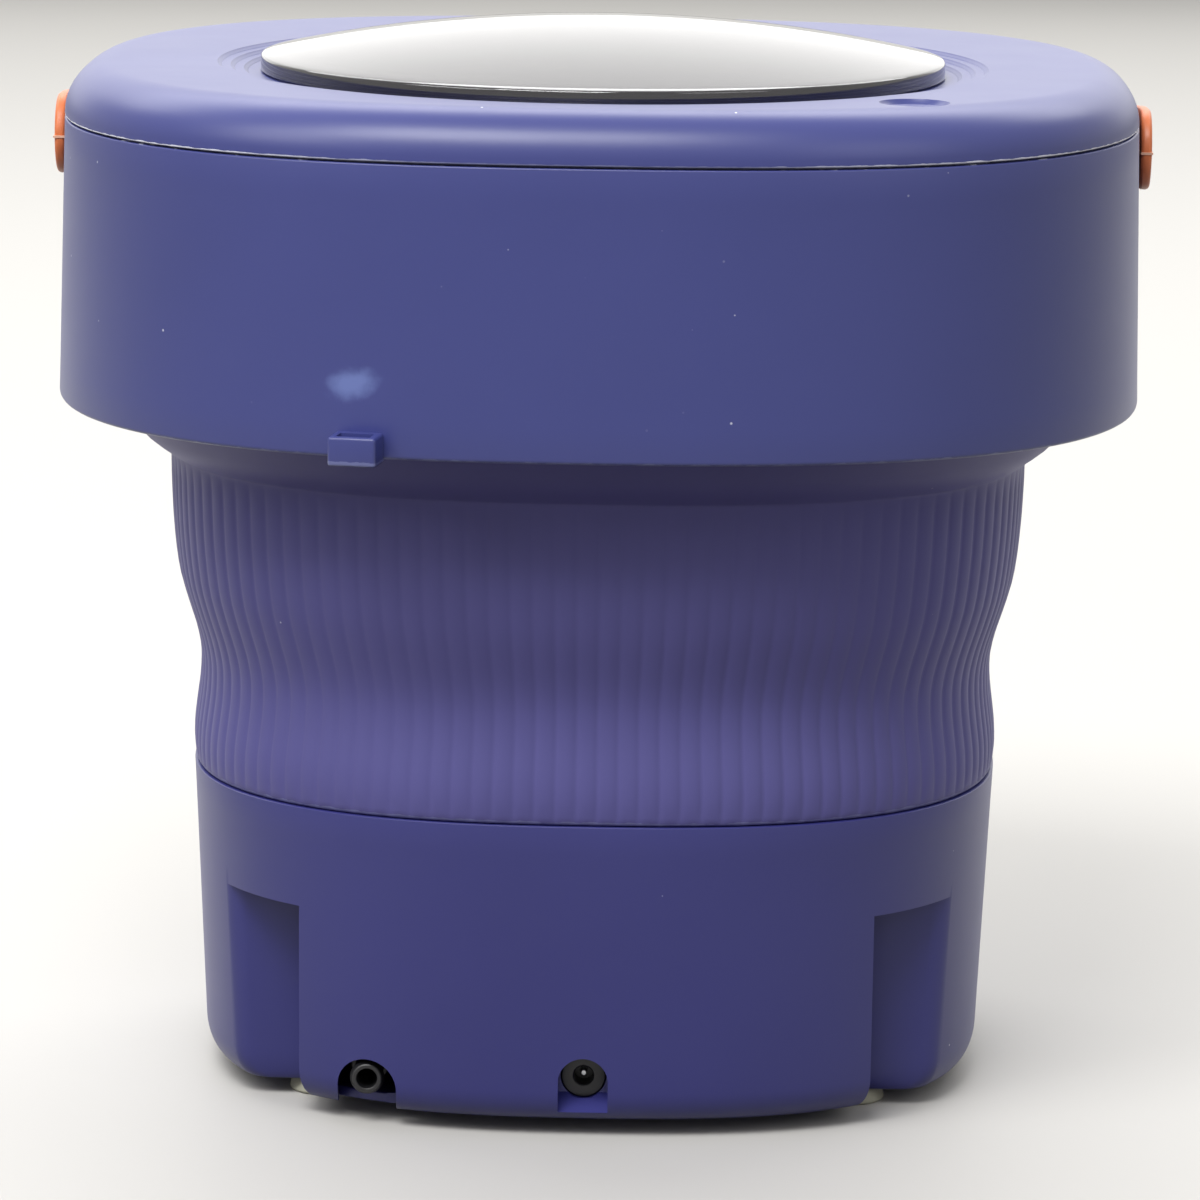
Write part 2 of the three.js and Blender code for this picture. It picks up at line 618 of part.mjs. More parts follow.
const clampRing = { inset: 9.6, width: 5.4, thick: 3 };
const bellows = {
  footInset: 0.6, thick: 2.2, flute: 0.9, flutes: 72, flange: 3, lowerFlange: 8, shoulder: 7.1,
  flangeInset: 5.6, flareInset: 11,
};
const bellowsLow = baseTop + clearance;

function makeLowerClamp() {
  const low = bellowsLow + bellows.flange + clearance;
  const outerInset = clampRing.inset - clampRing.width / 2;
  const innerInset = clampRing.inset + clampRing.width / 2;
  const size = (inset, level) => ring(baseHalfWidth - inset, baseHalfDepth - inset, level);
  const bevel = clampRing.thick / 3;
  const rings = [
    size(outerInset, low), size(outerInset, low + clampRing.thick - bevel),
    size(outerInset + bevel, low + clampRing.thick), size(innerInset, low + clampRing.thick),
    size(innerInset, low),
  ];
  piece("lower_clamp_ring", loft(rings, true), finishes.white);
}

// Bellows: a fluted silicone sleeve with a waist, flaring out to a flange under the housing.
// Each pair is a share of the shown height and a share of the shoulder's growth over the foot.

const sleeveShares = [
  [0, -0.08], [0.06, 0.01], [0.17, -0.1], [0.27, -0.27], [0.36, -0.11],
  [0.45, 0.28], [0.56, 0.7], [0.68, 0.91], [0.83, 1],
];
const flareShares = [
  [0.83, 0], [0.85, 0.04], [0.866, 0.14], [0.9, 0.38], [0.944, 0.58], [0.99, 0.8],
];

// The band's floor ring, with its ledge for the bellows' flange.
const band = { lip: 0.8, lipRise: 2, inset: 1.2, ledge: 5.9, ledgeThick: 2.6 };
const ledgeTop = bandBottom + band.lip + band.ledgeThick;
const flangeLow = ledgeTop + clearance;
const flareHalfWidth = housingHalfWidth - bellows.flareInset;
const flareHalfDepth = housingHalfDepth - bellows.flareInset;

function sleeveRing([heightShare, growShare], inset, steps, flute = 0) {
  const grow = growShare * bellows.shoulder - bellows.footInset * (heightShare === 0 ? 1 : 0) - inset;
  const level = bellowsLow + heightShare * bellowsHeight;
  const points = ring(baseHalfWidth + grow, baseHalfDepth + grow, level, steps);
  if (flute) {
    for (let i = 1; i < steps; i += 2) {
      const along = points[(i + 1) % steps].clone().sub(points[i - 1]).normalize();
      points[i].add(new THREE.Vector3(-along.y, along.x, 0).multiplyScalar(flute));
    }
  }
  return points;
}

function flareRing([heightShare, outShare], inset) {
  const start = baseHalfWidth + bellows.shoulder;
  const startDepth = baseHalfDepth + bellows.shoulder;
  const halfWidth = start + (flareHalfWidth - start) * outShare - inset;
  const halfDepth = startDepth + (flareHalfDepth - startDepth) * outShare - inset;
  return ring(halfWidth, halfDepth, bellowsLow + heightShare * bellowsHeight);
}

function makeBellows() {
  const steps = 2 * bellows.flutes;
  const sleeve = loft(sleeveShares.map((share) => sleeveRing(share, 0, steps, bellows.flute)));
  const flangeHigh = flangeLow + bellows.flange;
  const rim = [housingHalfWidth - bellows.flangeInset, housingHalfDepth - bellows.flangeInset];
  const lowered = flareRing(flareShares[0], 0).map((p) => p.clone().setZ(p.z - bellowsHeight / fineSteps));
  const outside = [
    lowered, ...flareShares.slice(1).map((share) => flareRing(share, 0)),
    ring(flareHalfWidth, flareHalfDepth, flangeLow), ring(rim[0], rim[1], flangeLow),
    ring(rim[0], rim[1], flangeHigh),
  ];
  const skin = bellows.thick + bellows.flute;
  const inside = [
    sleeveRing([0, 0], bellows.lowerFlange, outlineSteps).map((p) => p.setZ(p.z - overrun)),
    sleeveRing([0, 0], bellows.lowerFlange, outlineSteps).map((p) => p.setZ(bellowsLow + bellows.flange)),
    sleeveRing(sleeveShares[1], skin, outlineSteps).map((p) => p.setZ(bellowsLow + bellows.flange)),
    ...[3, 6, 8].map((i) => sleeveRing(sleeveShares[i], skin, outlineSteps)),
    ...[2, 4, 5].map((i) => flareRing(flareShares[i], skin)),
    flareRing(flareShares.at(-1), skin).map((p) => p.setZ(flangeHigh + overrun)),
  ];
  piece("bellows", sleeve.add(loft(outside)).subtract(loft(inside)), finishes.silicone);
}

// Top housing: the band, the collar that lines it, the cover and what is fixed to them

function bandRing(level, inset) {
  const draft = (level - bandBottom) * bandDraftShare + inset;
  return ring(housingHalfWidth - draft, housingHalfDepth - draft, level);
}

const pivot = { drop: 9.6, radius: 3, flange: 4.6, flangeThick: 2, head: 6.4, headThick: 1.6 };
const pivotLevel = bandTop - pivot.drop;
const bandTopGap = 0.6;

function pivotBore(radius, reach) {
  const bore = facingSide(extrude(new THREE.Shape().absarc(0, 0, radius, 0, fullTurn, false), reach * 2));
  return solid(bore.translate(-reach, 0, pivotLevel));
}

function makeUpperShell() {
  const top = bandTop - bandTopGap;
  const rings = [
    bandRing(bandBottom, band.inset), bandRing(bandBottom + band.lip, clearance),
    bandRing(bandBottom + band.lipRise, 0), bandRing(top, 0), bandRing(top, wall), bandRing(ledgeTop, wall),
    bandRing(ledgeTop, wall + band.ledge),
    bandRing(bandBottom + band.lip, wall + band.ledge), bandRing(bandBottom + band.lip, wall),
    bandRing(bandBottom, wall),
  ];
  const shell = loft(rings, true).subtract(pivotBore(pivot.radius + clearance, housingHalfWidth + overrun));
  piece("upper_shell", shell, finishes.housing);
}

// The lid sits in a stepped round dish, a little behind the cover's middle.
const dish = { centreY: -12.2, radius: 113.2, step: 3.2, slope: 0.7, depth: 2.8, steps: 3 };
const mouth = { radius: 90, neck: 9 };
const cover = { round: 14, lip: 4, lipThick: 2, riseShare: 0.96 };
const dishFloor = coverTop - dish.depth;
const neckLow = dishFloor - mouth.neck;
const dimple = { x: 89, y: -108.6, radius: 10, depth: 1.8 };

function makeTopCover() {
  const rings = [];
  const side = bandRing(bandTop, 0);
  rings.push(side);
  const rise = coverHeight * cover.riseShare;
  for (let i = 0; i <= arcSteps + 1; i++) {
    const angle = (i / (arcSteps + 1)) * quarterTurn;
    const inset = cover.round * (1 - Math.cos(angle));
    const level = coverTop - rise + rise * Math.sin(angle);
    rings.push(bandRing(bandTop, inset).map((p) => p.setZ(level)));
  }
  let level = coverTop;
  let radius = dish.radius;
  rings.push(circle(radius, level, dish.centreY));
  for (let i = 0; i < dish.steps; i++) {
    level -= dish.depth / dish.steps;
    radius -= dish.slope;
    rings.push(circle(radius, level, dish.centreY));
    if (i < dish.steps - 1) {
      radius -= dish.step;
      rings.push(circle(radius, level, dish.centreY));
    }
  }
  const round = (r, z) => circle(r, z, dish.centreY);
  rings.push(round(mouth.radius, dishFloor), round(mouth.radius, neckLow));
  rings.push(round(mouth.radius + wall, neckLow), round(mouth.radius + wall, dishFloor - wall));
  rings.push(round(dish.radius, dishFloor - wall), round(dish.radius + wall, coverTop - wall));
  for (let i = arcSteps - 1; i >= 0; i--) {
    const angle = (i / (arcSteps - 1)) * quarterTurn;
    const inset = wall + (cover.round - wall) * (1 - Math.cos(angle));
    const height = bandTop + wall + (coverHeight - 2 * wall) * Math.sin(angle);
    rings.push(bandRing(bandTop, inset).map((p) => p.setZ(height)));
  }
  const lipLow = bandTop - bandTopGap - cover.lip;
  rings.push(bandRing(bandTop, wall + cover.lipThick).map((p) => p.setZ(bandTop + clearance)));
  rings.push(bandRing(lipLow, wall + cover.lipThick), bandRing(lipLow, wall + clearance));
  rings.push(bandRing(bandTop, wall + clearance));
  const ball = (dimple.radius ** 2 + dimple.depth ** 2) / (2 * dimple.depth);
  const scoop = [[0, -dimple.depth]];
  for (let i = 1; i <= arcSteps; i++) {
    const r = (dimple.radius * i) / arcSteps;
    scoop.push([r, ball - dimple.depth - Math.sqrt(ball ** 2 - r ** 2)]);
  }
  scoop.push([dimple.radius, overrun], [0, overrun]);
  const cut = turned(scoop, smallSteps).translate(dimple.x, dimple.y, coverTop);
  piece("top_cover", loft(rings, true).subtract(solid(cut)), finishes.housing);
}

// The collar lines the housing, from the bellows' flange up to the mouth.
const collar = { thick: 2.2, flange: 2.6, wallInset: 10 };
const collarShares = [[0, 0], [0.5, 0.03], [0.74, 0.22], [0.88, 0.6], [0.95, 1]];

function collarRing([heightShare, roundShare], inset) {
  const low = flangeLow + bellows.flange + clearance + collar.flange;
  const high = dishFloor - wall - clearance;
  const level = low + heightShare * (high - low);
  const broad = ring(
    housingHalfWidth - collar.wallInset - inset, housingHalfDepth - collar.wallInset - inset, level,
  );
  const neckRadius = mouth.radius + wall + clearance + collar.thick - inset;
  return between(broad, circle(neckRadius, level, dish.centreY), roundShare);
}

function makeCollar() {
  const low = flangeLow + bellows.flange + clearance;
  const rimInset = wall + collar.flange / 2 + clearance;
  const rim = [housingHalfWidth - rimInset, housingHalfDepth - rimInset];
  const high = dishFloor - wall - clearance;
  const neckRadius = mouth.radius + wall + clearance;
  const outside = [
    ring(rim[0], rim[1], low), ring(rim[0], rim[1], low + collar.flange),
    ...collarShares.map((share) => collarRing(share, 0)),
    circle(neckRadius + collar.thick, high, dish.centreY),
  ];
  const inside = [
    circle(neckRadius, high, dish.centreY),
    ...collarShares.map((share) => collarRing(share, collar.thick)).reverse(),
    collarRing([0, 0], collar.thick).map((p) => p.setZ(low)),
  ];
  piece("tub_collar", loft([...outside, ...inside], true), finishes.white);
}

// The hose clip: a small bridge on the band's lower edge, over the drain, turned to stand square to the
// wall.
const clip = {
  halfWidth: 6.8, height: 8.3, drop: 0.9, depth: 10, face: 1.7, cheek: 2, back: 2.6, turn: Math.PI / 18,
};

function makeHoseClip() {
  const face = reachAt(housingHalfWidth, housingHalfDepth, drainX);
  const low = bandBottom - clip.drop;
  const bar = block([-clip.halfWidth, clip.halfWidth], [-clip.depth, overrun], [low, low + clip.height]);
  const slot = block(
    [-clip.halfWidth + clip.cheek, clip.halfWidth - clip.cheek], [-clip.depth + clip.face, -clip.back],
    [low - overrun, low + clip.height + overrun],
  );
  const seat = (geometry) => solid(geometry.rotateZ(-clip.turn).translate(drainX, -face, 0));
  const housing = [bandBottom - overrun, bandBottom + clip.height + overrun].map((level) => {
    return ring(housingHalfWidth + clearance, housingHalfDepth + clearance, level);
  });
  piece("hose_clip", seat(bar).subtract(seat(slot)).subtract(loft(housing)), finishes.housing);
}

// Handle: a flat bail that wraps the front of the housing, and its two pins

const handle = { gap: 1.3, thick: 3.6, endRadius: 12, midHalf: 9, taper: 46, bore: 3.3 };
const handleInner = handle.gap - pivot.drop * bandDraftShare;

function makeHandle() {
  const low = pivotLevel - 2 * handle.endRadius;
  const high = pivotLevel + 2 * handle.endRadius;
  const drawnIn = bandHeight * bandDraftShare;
  const plan = [housingHalfWidth - drawnIn, housingHalfDepth - drawnIn];
  const size = (grow, level) => ring(plan[0] + grow, plan[1] + grow, level);
  const outer = loft([size(handleInner + handle.thick, low), size(handleInner + handle.thick, high)]);
  const inner = loft([size(handleInner, low - overrun), size(handleInner, high + overrun)]);
  const far = housingHalfDepth + 2 * handle.thick;
  const bend = handle.taper / 2;
  const ends = [pivotLevel - handle.endRadius, pivotLevel + handle.endRadius];
  const edges = [pivotLevel - handle.midHalf, pivotLevel + handle.midHalf];
  const arm = new THREE.Shape();
  arm.absarc(0, pivotLevel, handle.endRadius, quarterTurn, 3 * quarterTurn, false);
  arm.bezierCurveTo(bend, ends[0], bend, edges[0], handle.taper, edges[0]);
  arm.lineTo(far, edges[0]);
  arm.lineTo(far, edges[1]);
  arm.lineTo(handle.taper, edges[1]);
  arm.bezierCurveTo(bend, edges[1], bend, ends[1], 0, ends[1]);
  const reach = housingHalfWidth + 2 * handle.thick;
  const profile = solid(facingSide(extrude(arm, 2 * reach)).translate(-reach, 0, 0));
  let bail = outer.subtract(inner).intersect(profile);
  bail = bail.subtract(pivotBore(handle.bore, reach));
  const pocketFace = housingHalfWidth - drawnIn + handleInner + handle.thick - pivot.headThick;
  for (const side of [-1, 1]) {
    const pocket = rod(pivot.head + clearance, 0, overrun).rotateY(side * quarterTurn);
    bail = bail.subtract(solid(pocket.translate(side * pocketFace, 0, pivotLevel)));
  }
  piece("handle", bail, finishes.coral);
  const wallFace = housingHalfWidth - (bandHeight - pivot.drop) * bandDraftShare - wall;
  const faceOut = pocketFace + pivot.headThick;
  for (const [name, side] of [["left", -1], ["right", 1]]) {
    const flangeFace = wallFace - clearance - pivot.flangeThick;
    const profile = [
      [0, flangeFace], [pivot.flange, flangeFace], [pivot.flange, wallFace - clearance],
      [pivot.radius, wallFace - clearance],
      [pivot.radius, pocketFace + clearance], [pivot.head, pocketFace + clearance],
      [pivot.head, faceOut - clearance], [pivot.head - clearance, faceOut], [0, faceOut],
    ];
    const pin = piece("handle_pin_" + name, solid(turned(profile, smallSteps)), finishes.coral);
    pin.rotation.y = side * quarterTurn;
    pin.position.set(0, 0, pivotLevel);
  }
}

// Lid: a clear dome on a ring that drops into the mouth, with its gasket

const lid = {
  radius: 100.8, side: 4.8, rise: 10.7, thick: 2, spigot: 2.4, spigotDepth: 7, gasket: 1, gasketWidth: 6,
};
const lidGroup = new THREE.Group();
lidGroup.position.set(0, dish.centreY, dishFloor + clearance);
machine.add(lidGroup);

function dome(radius, low, rise, steps) {
  const ball = (radius ** 2 + rise ** 2) / (2 * rise);
  const points = [];
  for (let i = 0; i <= steps; i++) {
    const r = (radius * (steps - i)) / steps;
    points.push([r, low + rise - ball + Math.sqrt(ball ** 2 - r ** 2)]);
  }
  return points;
}

function makeLid() {
  const skirt = lid.radius - lid.thick;
  const window = [
    ...dome(lid.radius, lid.side, lid.rise, domeSteps),
    ...dome(skirt, lid.side - lid.thick, lid.rise, domeSteps).reverse(),
    [skirt, 0], [lid.radius, 0], [lid.radius, lid.side],
  ];
  piece("lid_window", solid(turned(window, outlineSteps)), finishes.clear, lidGroup);
  const ringLow = lid.gasket + clearance;
  const outer = skirt - clearance;
  const inner = mouth.radius - 2 * clearance - lid.spigot;
  const spigotOuter = mouth.radius - 2 * clearance;
  const ringHigh = lid.side - lid.thick - clearance;
  const body = [
    [outer, ringLow], [outer, ringHigh], [inner, ringHigh + lid.thick / 2], [inner, -lid.spigotDepth],
    [spigotOuter, -lid.spigotDepth], [spigotOuter, ringLow], [outer, ringLow],
  ];
  piece("lid_rim", solid(turned(body, outlineSteps)), finishes.black, lidGroup);
  const seal = tube(outer - lid.gasketWidth, outer, 0, lid.gasket, outlineSteps);
  piece("lid_seal", solid(seal), finishes.silicone, lidGroup);
}

// Control panel on the front, with two keys, an indicator lens and the boards

const lensHole = { halfLength: 4.4, halfHeight: 1.6 };
const boardPost = { x: 34, radius: 2 };

function makeControls() {
  const plateLow = panelFloor + clearance;
  const plateHigh = plateLow + panel.plate;
  let plate = panelBlock(-clearance, plateLow, plateHigh);
  for (const side of [-1, 1]) {
    const hole = rod(keys.rimRadius + clearance, -overrun, overrun).rotateX(quarterTurn);
    plate = plate.subtract(solid(hole.translate(side * keys.x, plateLow, panelLevel)));
  }
  const lensCut = slotShape(lensHole.halfLength + clearance, lensHole.halfHeight + clearance, panelLevel);
  const lensTool = facingBack(extrude(lensCut, 2 * overrun)).translate(0, plateLow + overrun, 0);
  plate = plate.subtract(solid(lensTool));
  piece("control_panel", plate, finishes.black);
  const lensShape = slotShape(lensHole.halfLength, lensHole.halfHeight, panelLevel);
  const lens = facingBack(extrude(lensShape, panel.plate)).translate(0, plateHigh, 0);
  piece("indicator_lens", solid(lens), finishes.white);
  const boardFace = panelFloor - panel.floor - boardGap;
  for (const [name, side] of [["power_button", -1], ["mode_button", 1]]) {
    const capLow = plateLow + keys.travel;
    const profile = [
      [0, boardFace + clearance + keys.travel], [keys.stem, boardFace + clearance + keys.travel],
      [keys.stem, panelFloor - panel.floor - clearance], [keys.radius, panelFloor - panel.floor - clearance],
      [keys.radius, capLow], [keys.rimRadius, capLow], [keys.rimRadius, plateHigh],
      [keys.radius, plateHigh + keys.proud], [0, plateHigh + keys.proud],
    ];
    const button = piece(name, solid(turned(profile, smallSteps)), finishes.white);
    button.rotation.x = -quarterTurn;
    button.position.set(side * keys.x, 0, panelLevel);
  }
  const boardX = [-panel.halfLength, panel.halfLength];
  let board = solid(block(boardX, [boardFace - boardThick, boardFace],
    [panelLevel - panel.halfHeight / 2, panelLevel + panel.halfHeight / 2]));
  for (const side of [-1, 1]) {
    const postHigh = panelFloor - panel.floor - clearance;
    const post = rod(boardPost.radius, boardFace - boardThick, postHigh, screwSteps);
    board = board.add(solid(post.rotateX(-quarterTurn).translate(side * boardPost.x, 0, panelLevel)));
  }
  piece("control_board", board, finishes.board);
}

const driveBoard = { xShare: 0.25, yShare: 0.6545, halfX: 22, halfY: 14, thick: 1.6, post: 2.2 };
const driveBoardX = baseHalfWidth * driveBoard.xShare;
const driveBoardY = -baseHalfDepth * driveBoard.yShare;

function makeDriveBoard() {
  const low = coverHigh + clearance;
  const x = [driveBoardX - driveBoard.halfX, driveBoardX + driveBoard.halfX];
  const y = [driveBoardY - driveBoard.halfY, driveBoardY + driveBoard.halfY];
  let board = solid(block(x, y, [low + driveBoard.post, low + driveBoard.post + driveBoard.thick]));
  for (const px of x) {
    for (const py of y) {
      const cx = px + Math.sign(driveBoardX - px) * 2 * driveBoard.post;
      const cy = py + Math.sign(driveBoardY - py) * 2 * driveBoard.post;
      const post = rod(driveBoard.post, low, low + driveBoard.post + driveBoard.thick, screwSteps);
      board = board.add(solid(post.translate(cx, cy, 0)));
    }
  }
  piece("drive_board", board, finishes.board);
}

makeBaseShell();
makeBottomCover();
makeFeet();
makeScrews();
makeTubWell();
makeBearings();
makeDriveShaft();
makeMotor();
makePulsator();
makeDrain();
makeJack();
makeLowerClamp();
makeBellows();
makeUpperShell();
makeTopCover();
makeCollar();
makeHoseClip();
makeHandle();
makeLid();
makeControls();
makeDriveBoard();

export default machine;
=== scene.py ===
import math

import bpy
from mathutils import Matrix, Vector


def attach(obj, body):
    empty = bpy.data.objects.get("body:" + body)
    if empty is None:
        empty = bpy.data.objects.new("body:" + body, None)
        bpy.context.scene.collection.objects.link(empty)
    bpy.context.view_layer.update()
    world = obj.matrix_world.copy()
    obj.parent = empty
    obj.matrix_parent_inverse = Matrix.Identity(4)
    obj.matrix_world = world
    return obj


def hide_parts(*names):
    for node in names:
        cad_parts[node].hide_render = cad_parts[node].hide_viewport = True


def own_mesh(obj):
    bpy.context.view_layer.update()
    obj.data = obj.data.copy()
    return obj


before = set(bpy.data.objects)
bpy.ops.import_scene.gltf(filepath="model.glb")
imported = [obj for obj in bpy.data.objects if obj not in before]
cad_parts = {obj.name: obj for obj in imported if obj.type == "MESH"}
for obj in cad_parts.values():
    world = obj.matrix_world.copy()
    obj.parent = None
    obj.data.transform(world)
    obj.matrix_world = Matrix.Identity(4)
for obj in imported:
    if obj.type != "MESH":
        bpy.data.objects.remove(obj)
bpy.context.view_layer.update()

mm = 0.001
corners = {"rear_left": (-1, -1), "rear_right": (1, -1), "front_right": (1, 1), "front_left": (-1, 1)}

# Both housings run round the same soft rectangle, a little shorter front to back.
outline = {"power": 2.55, "points": 384, "fine": 2880}


# Helpers

def clamp(value, low=0.0, high=1.0):
    return min(max(value, low), high)


def ease(share):
    return share * share * (3 - 2 * share)


def take(settings, names):
    return [settings[name] for name in names.split()]


def deselectAll():
    if bpy.context.object and bpy.context.object.mode != "OBJECT":
        bpy.ops.object.mode_set(mode="OBJECT")
    bpy.ops.object.select_all(action="DESELECT")


def pick(piece):
    deselectAll()
    piece.select_set(True)
    bpy.context.view_layer.objects.active = piece


def applyPlace(piece, place=(0.0, 0.0, 0.0), turn=(0.0, 0.0, 0.0)):
    piece.location = [a + b * mm for a, b in zip(piece.location, place)]
    piece.rotation_euler = [a + b for a, b in zip(piece.rotation_euler, turn)]
    pick(piece)
    bpy.ops.object.transform_apply(location=True, rotation=True, scale=True)
    return piece


def nameNew(name):
    piece = bpy.context.object
    piece.name = piece.data.name = name
    return applyPlace(piece)


def editAll(piece):
    pick(piece)
    bpy.ops.object.mode_set(mode="EDIT")
    bpy.ops.mesh.select_all(action="SELECT")


def leaveEdit():
    bpy.ops.object.mode_set(mode="OBJECT")


def faceOut():
    bpy.ops.mesh.select_all(action="SELECT")
    bpy.ops.mesh.normals_make_consistent(inside=False)
    leaveEdit()


def extrudeBy(z):
    bpy.ops.mesh.extrude_region_move(TRANSFORM_OT_translate={"value": (0, 0, z * mm)})


def selectWhere(piece, test):
    leaveEdit()
    mesh = piece.data
    for group in (mesh.vertices, mesh.edges, mesh.polygons):
        for item in group:
            item.select = False
    for vertex in mesh.vertices:
        vertex.select = test(vertex.co / mm)
    bpy.ops.object.mode_set(mode="EDIT")
    bpy.ops.mesh.select_mode(type="VERT")


# Rings of points, one extruded from the last. A profile is a list of (radius, level) in mm.
def stackRings(name, profile, points, closed=True):
    deselectAll()
    radius, level = profile[0]
    bpy.ops.mesh.primitive_circle_add(vertices=points, radius=radius * mm, location=(0, 0, level * mm))
    piece = nameNew(name)
    editAll(piece)
    for nextRadius, nextLevel in profile[1:]:
        extrudeBy(nextLevel - level)
        scale = nextRadius / radius
        bpy.ops.transform.resize(value=(scale, scale, 1), center_override=(0, 0, 0))
        radius, level = nextRadius, nextLevel
    bpy.ops.mesh.select_all(action="DESELECT")
    bpy.ops.mesh.select_mode(type="EDGE")
    bpy.ops.mesh.select_non_manifold()
    if closed:
        bpy.ops.mesh.bridge_edge_loops()
    else:
        bpy.ops.mesh.fill_holes(sides=0)
    faceOut()
    return piece


# A vertex as its radius, its share of a full turn, and its level.
def polar(vertex):
    x, y, z = vertex.co / mm
    return math.hypot(x, y), math.atan2(y, x) / math.tau % 1, z


def reachAt(halfWidth, halfDepth, angle):
    power = outline["power"]
    across = abs(math.cos(angle) / halfWidth) ** power
    return (across + abs(math.sin(angle) / halfDepth) ** power) ** (-1 / power)


# A soft rectangle, with the angles that share its edge into equal lengths.
def makeRing(halfWidth, halfDepth):
    steps = outline["fine"]
    spots = []
    for i in range(steps + 1):
        angle = math.tau * i / steps
        reach = reachAt(halfWidth, halfDepth, angle)
        spots.append((reach * math.cos(angle), reach * math.sin(angle)))
    run = [0.0]
    for a, b in zip(spots, spots[1:]):
        run.append(run[-1] + math.dist(a, b))
    angles = []
    k = 0
    for i in range(steps):
        target = run[-1] * i / steps
        while run[k + 1] < target:
            k += 1
        part = (target - run[k]) / (run[k + 1] - run[k])
        angles.append(math.tau * (k + part) / steps)
    return {"angles": angles + [math.tau], "less": halfWidth - halfDepth}


housing = makeRing(160.0, 151.0)
lower = makeRing(120.4, 110.0)


# Moves a stack of round rings onto the soft rectangle. less and grow may follow the level.
def squareOff(piece, ring, less=None, grow=None):
    angles = ring["angles"]
    steps = len(angles) - 1
    for vertex in piece.data.vertices:
        radius, share, z = polar(vertex)
        if radius < 1:
            continue
        spot = share * steps
        low = min(int(spot), steps - 1)
        angle = angles[low] + (angles[low + 1] - angles[low]) * (spot - low)
        shorter = less(radius, z) if less else ring["less"]
        more = grow(share, radius, z) if grow else 0.0
        reach = reachAt(radius + more, radius - shorter + more, angle)
        vertex.co.x = reach * math.cos(angle) * mm
        vertex.co.y = reach * math.sin(angle) * mm
    piece.data.update()


def makeBlock(name, x, y, z):
    deselectAll()
    middle = [(low + high) / 2 * mm for low, high in (x, y, z)]
    size = [(high - low) * mm for low, high in (x, y, z)]
    bpy.ops.mesh.primitive_cube_add(size=1, location=middle, scale=size)
    return nameNew(name)


# A rod between two levels, or along Y where facing is "Y", or along X.
def makeRod(name, radius, low, high, place=(0.0, 0.0), facing="Z", points=48):
    deselectAll()
    middle = (low + high) / 2
    spots = {"Z": (*place, middle), "Y": (place[0], middle, place[1]), "X": (middle, *place)}
    turns = {"Z": (0, 0, 0), "Y": (math.pi / 2, 0, 0), "X": (0, math.pi / 2, 0)}
    bpy.ops.mesh.primitive_cylinder_add(
        vertices=points, radius=radius * mm, depth=(high - low) * mm,
        location=[value * mm for value in spots[facing]], rotation=turns[facing])
    return nameNew(name)


# A doorway's prism: straight sides and a half-round head, running along Y.
def makeDoor(name, middle, halfWidth, sill, springing, high, low=-130.0):
    door = makeRod(name, halfWidth, low, high, (middle, springing), "Y", 96)
    editAll(door)
    bpy.ops.mesh.bisect(plane_co=(0, 0, springing * mm), plane_no=(0, 0, 1), clear_inner=True, use_fill=True)
    extrudeBy(sill - springing)
    faceOut()
    return door


# A bar with round ends along X, running along Y.
def makeSlot(name, halfLength, halfHeight, low, high, points=64):
    level = panel["level"]
    slot = makeRod(name, halfHeight, low, high, (0.0, level), "Y", points)
    editAll(slot)
    bpy.ops.transform.rotate(value=math.pi / points, orient_axis="Y", center_override=(0, 0, level * mm))
    for side in (-1, 1):
        selectWhere(slot, lambda spot: spot.x * side > 0)
        bpy.ops.transform.translate(value=(side * (halfLength - halfHeight) * mm, 0, 0))
    leaveEdit()
    return slot


def combine(piece, other, operation="DIFFERENCE"):
    pick(piece)
    bpy.ops.object.modifier_add(type="BOOLEAN")
    modifier = piece.modifiers[-1]
    modifier.operation = operation
    modifier.solver = "EXACT"
    modifier.object = other
    bpy.ops.object.modifier_apply(modifier=modifier.name)
    bpy.data.objects.remove(other, do_unlink=True)
    return piece


# Cuts a cross into a screw's head.
def cutCross(piece, reach, thin, levels):
    for x, y in ((reach, thin), (thin, reach)):
        combine(piece, makeBlock("cross", (-x, x), (-y, y), levels))


def roundEdges(piece, width, segments):
    pick(piece)
    bpy.ops.object.modifier_add(type="BEVEL")
    modifier = piece.modifiers[-1]
    modifier.width = width * mm
    modifier.segments = segments
    modifier.limit_method = "ANGLE"
    modifier.angle_limit = math.radians(40)
    bpy.ops.object.modifier_apply(modifier=modifier.name)


def smooth(piece, angle=30):
    pick(piece)
    bpy.ops.object.shade_smooth_by_angle(angle=math.radians(angle))
    return piece


# A lathed piece: a profile filled at both ends, or closed on itself, laid along an axis.
def turnPiece(name, profile, place=(0.0, 0.0, 0.0), facing="Z", closed=False, points=96):
    turns = {"Z": (0, 0, 0), "Y": (-math.pi / 2, 0, 0), "X": (0, math.pi / 2, 0)}
    return smooth(applyPlace(stackRings(name, profile, points, closed), place, turns[facing]))


def dress(piece, material):
    piece.data.materials.clear()
    piece.data.materials.append(material)


def finishPiece(piece, body, slot, *nodes, angle=None):
    if angle:
        smooth(piece, angle)
    dress(piece, materials[slot])
    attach(piece, body)
    if nodes:
        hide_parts(*nodes)


# Points of a quarter turn, as sine and cosine, for a rounded edge in a profile.
def quarter(steps, first=0):
    turns = [i / steps * math.pi / 2 for i in range(first, steps + 1)]
    return [(math.sin(turn), math.cos(turn)) for turn in turns]


# Profile points round a corner of a section, from one direction to another, in degrees.
def turnCorner(radius, level, size, start, end, steps=4):
    turns = [math.radians(start + (end - start) * i / steps) for i in range(steps + 1)]
    return [(radius + size * math.cos(turn), level + size * math.sin(turn)) for turn in turns]


